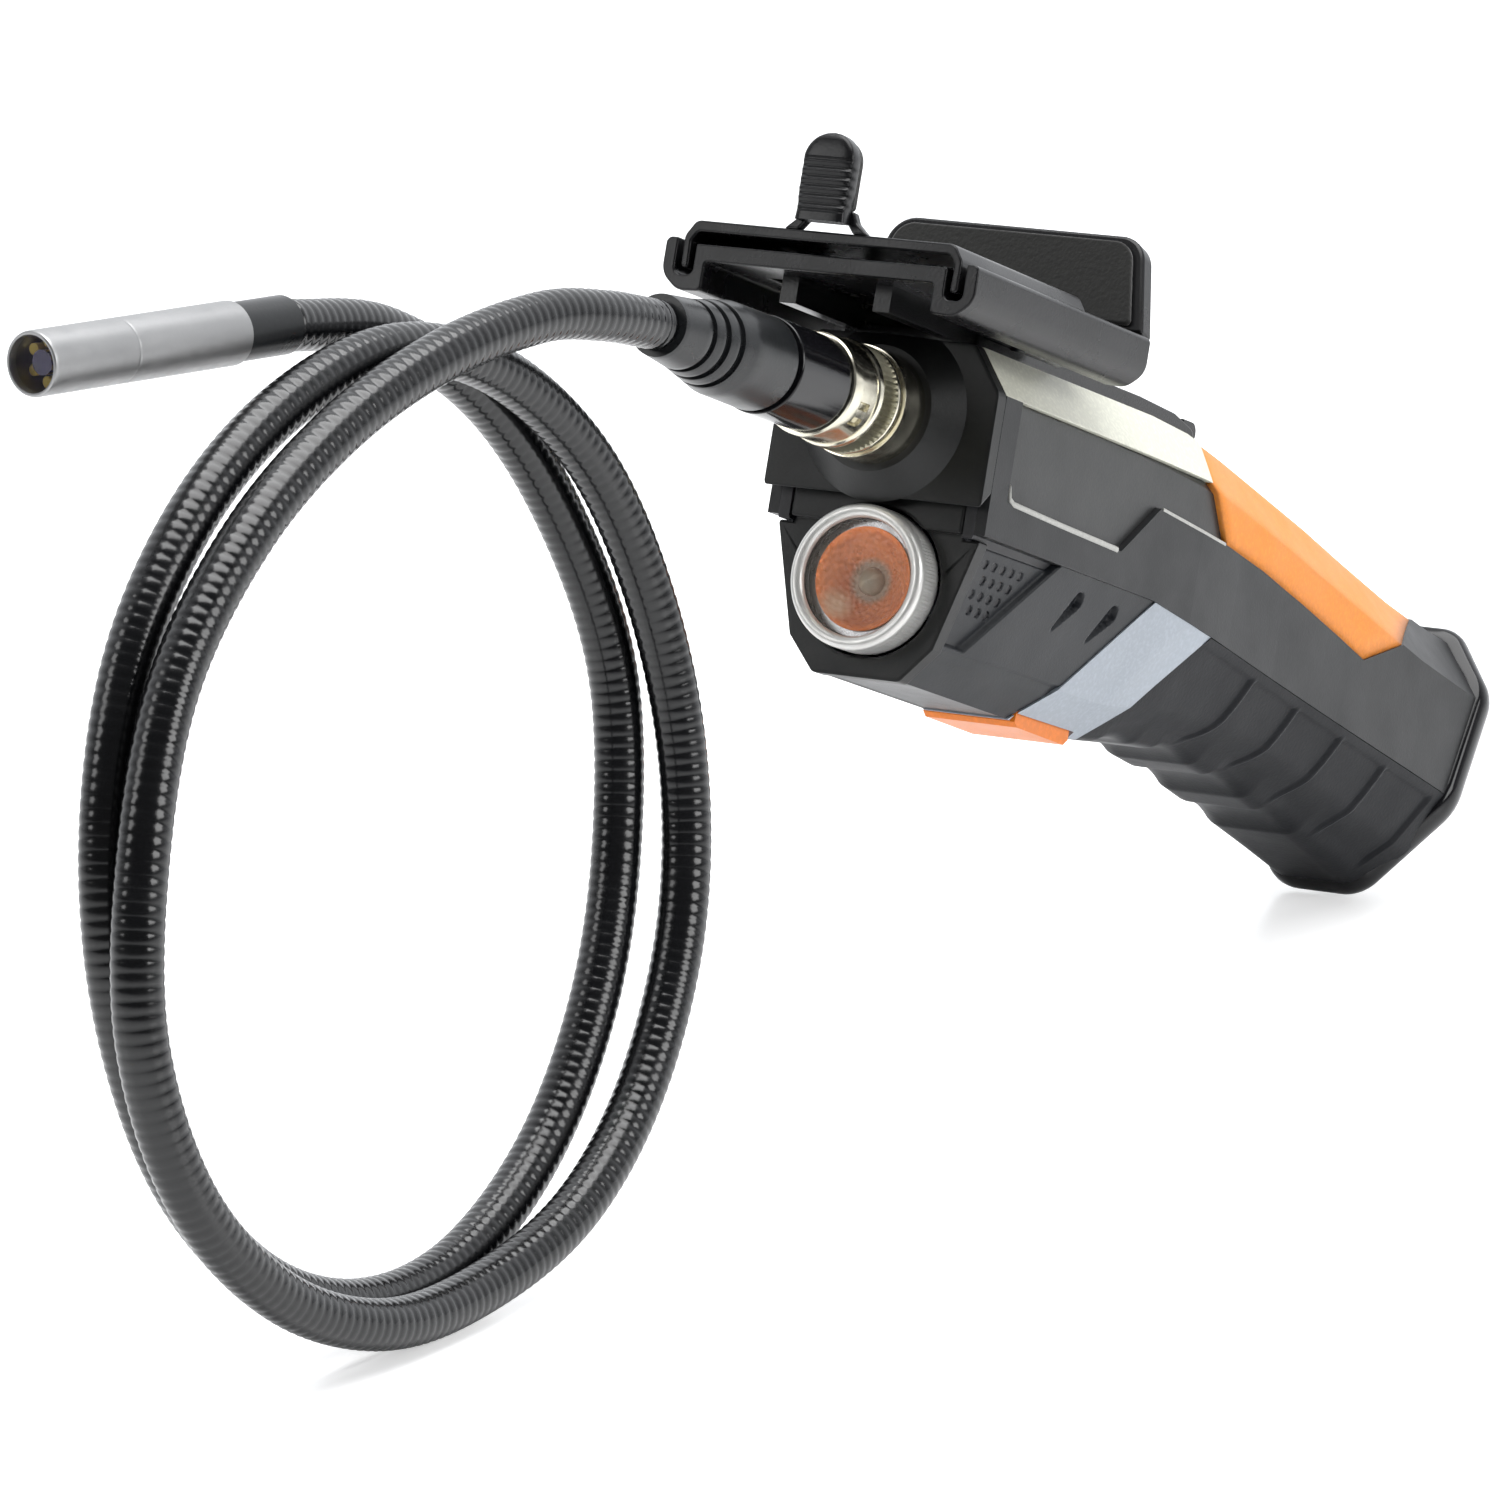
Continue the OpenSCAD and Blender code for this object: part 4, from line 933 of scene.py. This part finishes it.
def claw_mesh():
    """Front face ribbed across, sides slightly waisted, as one closed skin."""
    cols, rows = 22, 84
    z0, z1 = 25.3, 39.7
    front, back_side = [], []
    for i in range(rows + 1):
        z = lerp(z0, z1, i / rows)
        over = max(0.0, z - 35.2)
        w = math.sqrt(max(0.02, 4.5 ** 2 - over ** 2)) if over else 4.5
        w *= 1 - 0.05 * math.exp(-((z - 27) / 2.0) ** 2)
        rib = 0.0
        if 26.6 < z < 35.6:
            wave = 0.5 + 0.5 * math.cos(2 * math.pi * (z - 26.6) / 1.5)
            rib = 0.5 * wave * smooth(26.6, 27.2, z) * (1 - smooth(35.0, 35.6, z))
        f, b = [], []
        for k in range(cols + 1):
            t = -1 + 2 * k / cols
            y = w * math.sin(t * math.pi / 2)
            crown = 0.7 * (1 - abs(t) ** 4) * min(1.0, w / 3)
            f.append(P(32.5 + crown - rib * (1 - abs(t) ** 6) * 0.9 - 0.03 * over ** 2, y, z))
            b.append(P(30.05 + 0.25 * abs(t) ** 6, y, z))
        front.append(f)
        back_side.append(b)
    return front, back_side


claw_front, claw_back = claw_mesh()
skin("claw_ribbed", claw_front, claw_back, M["black"], "holder_jaw", "black_plastic", ["claw"], 50)

pad_outline = fillet([(-4.1, 27.7), (4.1, 27.7), (4.1, 39.3), (-4.1, 39.3)], (0.8, 0.8, 4.0, 4.0), 8)
claw_foam = prism("claw_foam", pad_outline, 28.1, 30.04, M["foam"], "holder_jaw", "foam", ["claw_pad"], 0.5)

LEAN = math.radians(12)


def jaw_at(x, y, z):
    return P(-33 + x * math.cos(LEAN) - z * math.sin(LEAN), y, 21 + x * math.sin(LEAN) + z * math.cos(LEAN))


jaw_pts = [(27.2, 0.4), (23, 17.2), (-23, 17.2), (-27.2, 0.4)]
prism("rear_plate", fillet(jaw_pts, (0.6, 5, 5, 0.6), 10), -4, 0, M["black"], "handset",
      "black_plastic", ["rear_jaw"], 0.8, 30, jaw_at)
foam_pts = [(25.0, 1.4), (21.6, 15.8), (-21.6, 15.8), (-25.0, 1.4)]
back_foam = prism("rear_foam", fillet(foam_pts, (0.8, 3.8, 3.8, 0.8), 10), -0.05, 1.2, M["foam"], "handset",
                  "foam", ["rear_pad"], 0.4, 30, jaw_at)

# ------------------------------------------------------------ stage and light
floor_mat = Nodes("floor")
tone = floor_mat.ramp(floor_mat.noise(3), 0, 1)
floor_mat.set(Base_Color=floor_mat.mix(tone, (0.93, 0.93, 0.93), (0.95, 0.95, 0.95)))
floor_mat.set(Roughness=floor_mat.ramp(floor_mat.noise(2), 0.18, 0.22))
floor_mat.shader.inputs["Specular IOR Level"].default_value = 0.35
floor_mat.shader.inputs["Emission Color"].default_value = (1, 1, 1, 1)
ray = floor_mat.tree.nodes.new("ShaderNodeLightPath")
floor_mat.set(Emission_Strength=floor_mat.ramp(ray.outputs["Is Camera Ray"], 0.0, 0.5, 0, 1))
bpy.ops.mesh.primitive_circle_add(vertices=96, radius=14, fill_type="NGON", location=(0, 0, -0.0002))
floor = bpy.context.object
floor.name = "floor"
floor.data.materials.append(floor_mat.mat)

world = bpy.data.worlds.new("studio")
scene.world = world
world.use_nodes = True
wt = world.node_tree
BACKDROP = Vector((-0.87, -0.44, 0.22)).normalized()


def world_node(kind, **values):
    n = wt.nodes.new(kind)
    for key, value in values.items():
        n.inputs[key.replace("_", " ")].default_value = value
    return n


where = wt.nodes.new("ShaderNodeTexCoord")
facing = world_node("ShaderNodeVectorMath")
facing.operation = "DOT_PRODUCT"
facing.inputs[1].default_value = BACKDROP
fall = world_node("ShaderNodeMapRange", From_Min=-0.35, From_Max=0.75, To_Min=0.10, To_Max=1.25)
fall.interpolation_type = "SMOOTHSTEP"
wt.links.new(where.outputs["Generated"], facing.inputs[0])
wt.links.new(facing.outputs["Value"], fall.inputs["Value"])
back = wt.nodes["Background"]
back.inputs["Color"].default_value = (0.95, 0.97, 1.0, 1)
wt.links.new(fall.outputs["Result"], back.inputs["Strength"])
seen = world_node("ShaderNodeBackground", Color=(1, 1, 1, 1), Strength=1.1)
path = wt.nodes.new("ShaderNodeLightPath")
mixer = wt.nodes.new("ShaderNodeMixShader")
wt.links.new(path.outputs["Is Camera Ray"], mixer.inputs["Fac"])
wt.links.new(back.outputs["Background"], mixer.inputs[1])
wt.links.new(seen.outputs["Background"], mixer.inputs[2])
wt.links.new(mixer.outputs["Shader"], wt.nodes["World Output"].inputs["Surface"])


def soft_box(name, at, to, size, power, colour=(1, 1, 1)):
    data = bpy.data.lights.new(name, "AREA")
    data.shape = "RECTANGLE"
    data.size, data.size_y = size
    data.energy = power
    data.color = colour
    o = bpy.data.objects.new(name, data)
    scene.collection.objects.link(o)
    o.location = at
    o.rotation_mode = "QUATERNION"
    o.rotation_quaternion = (Vector(to) - Vector(at)).to_track_quat("-Z", "Y")
    return o


MID = (0.06, 0, 0.09)
soft_box("overhead", (0.0, 0.1, 1.4), MID, (1.2, 1.2), 22)
soft_box("right_side", (0.1, 1.5, 0.7), MID, (0.9, 0.7), 10)
soft_box("front_left", (1.25, -0.9, 0.85), MID, (0.5, 0.8), 4)

scene.view_settings.view_transform = "Standard"
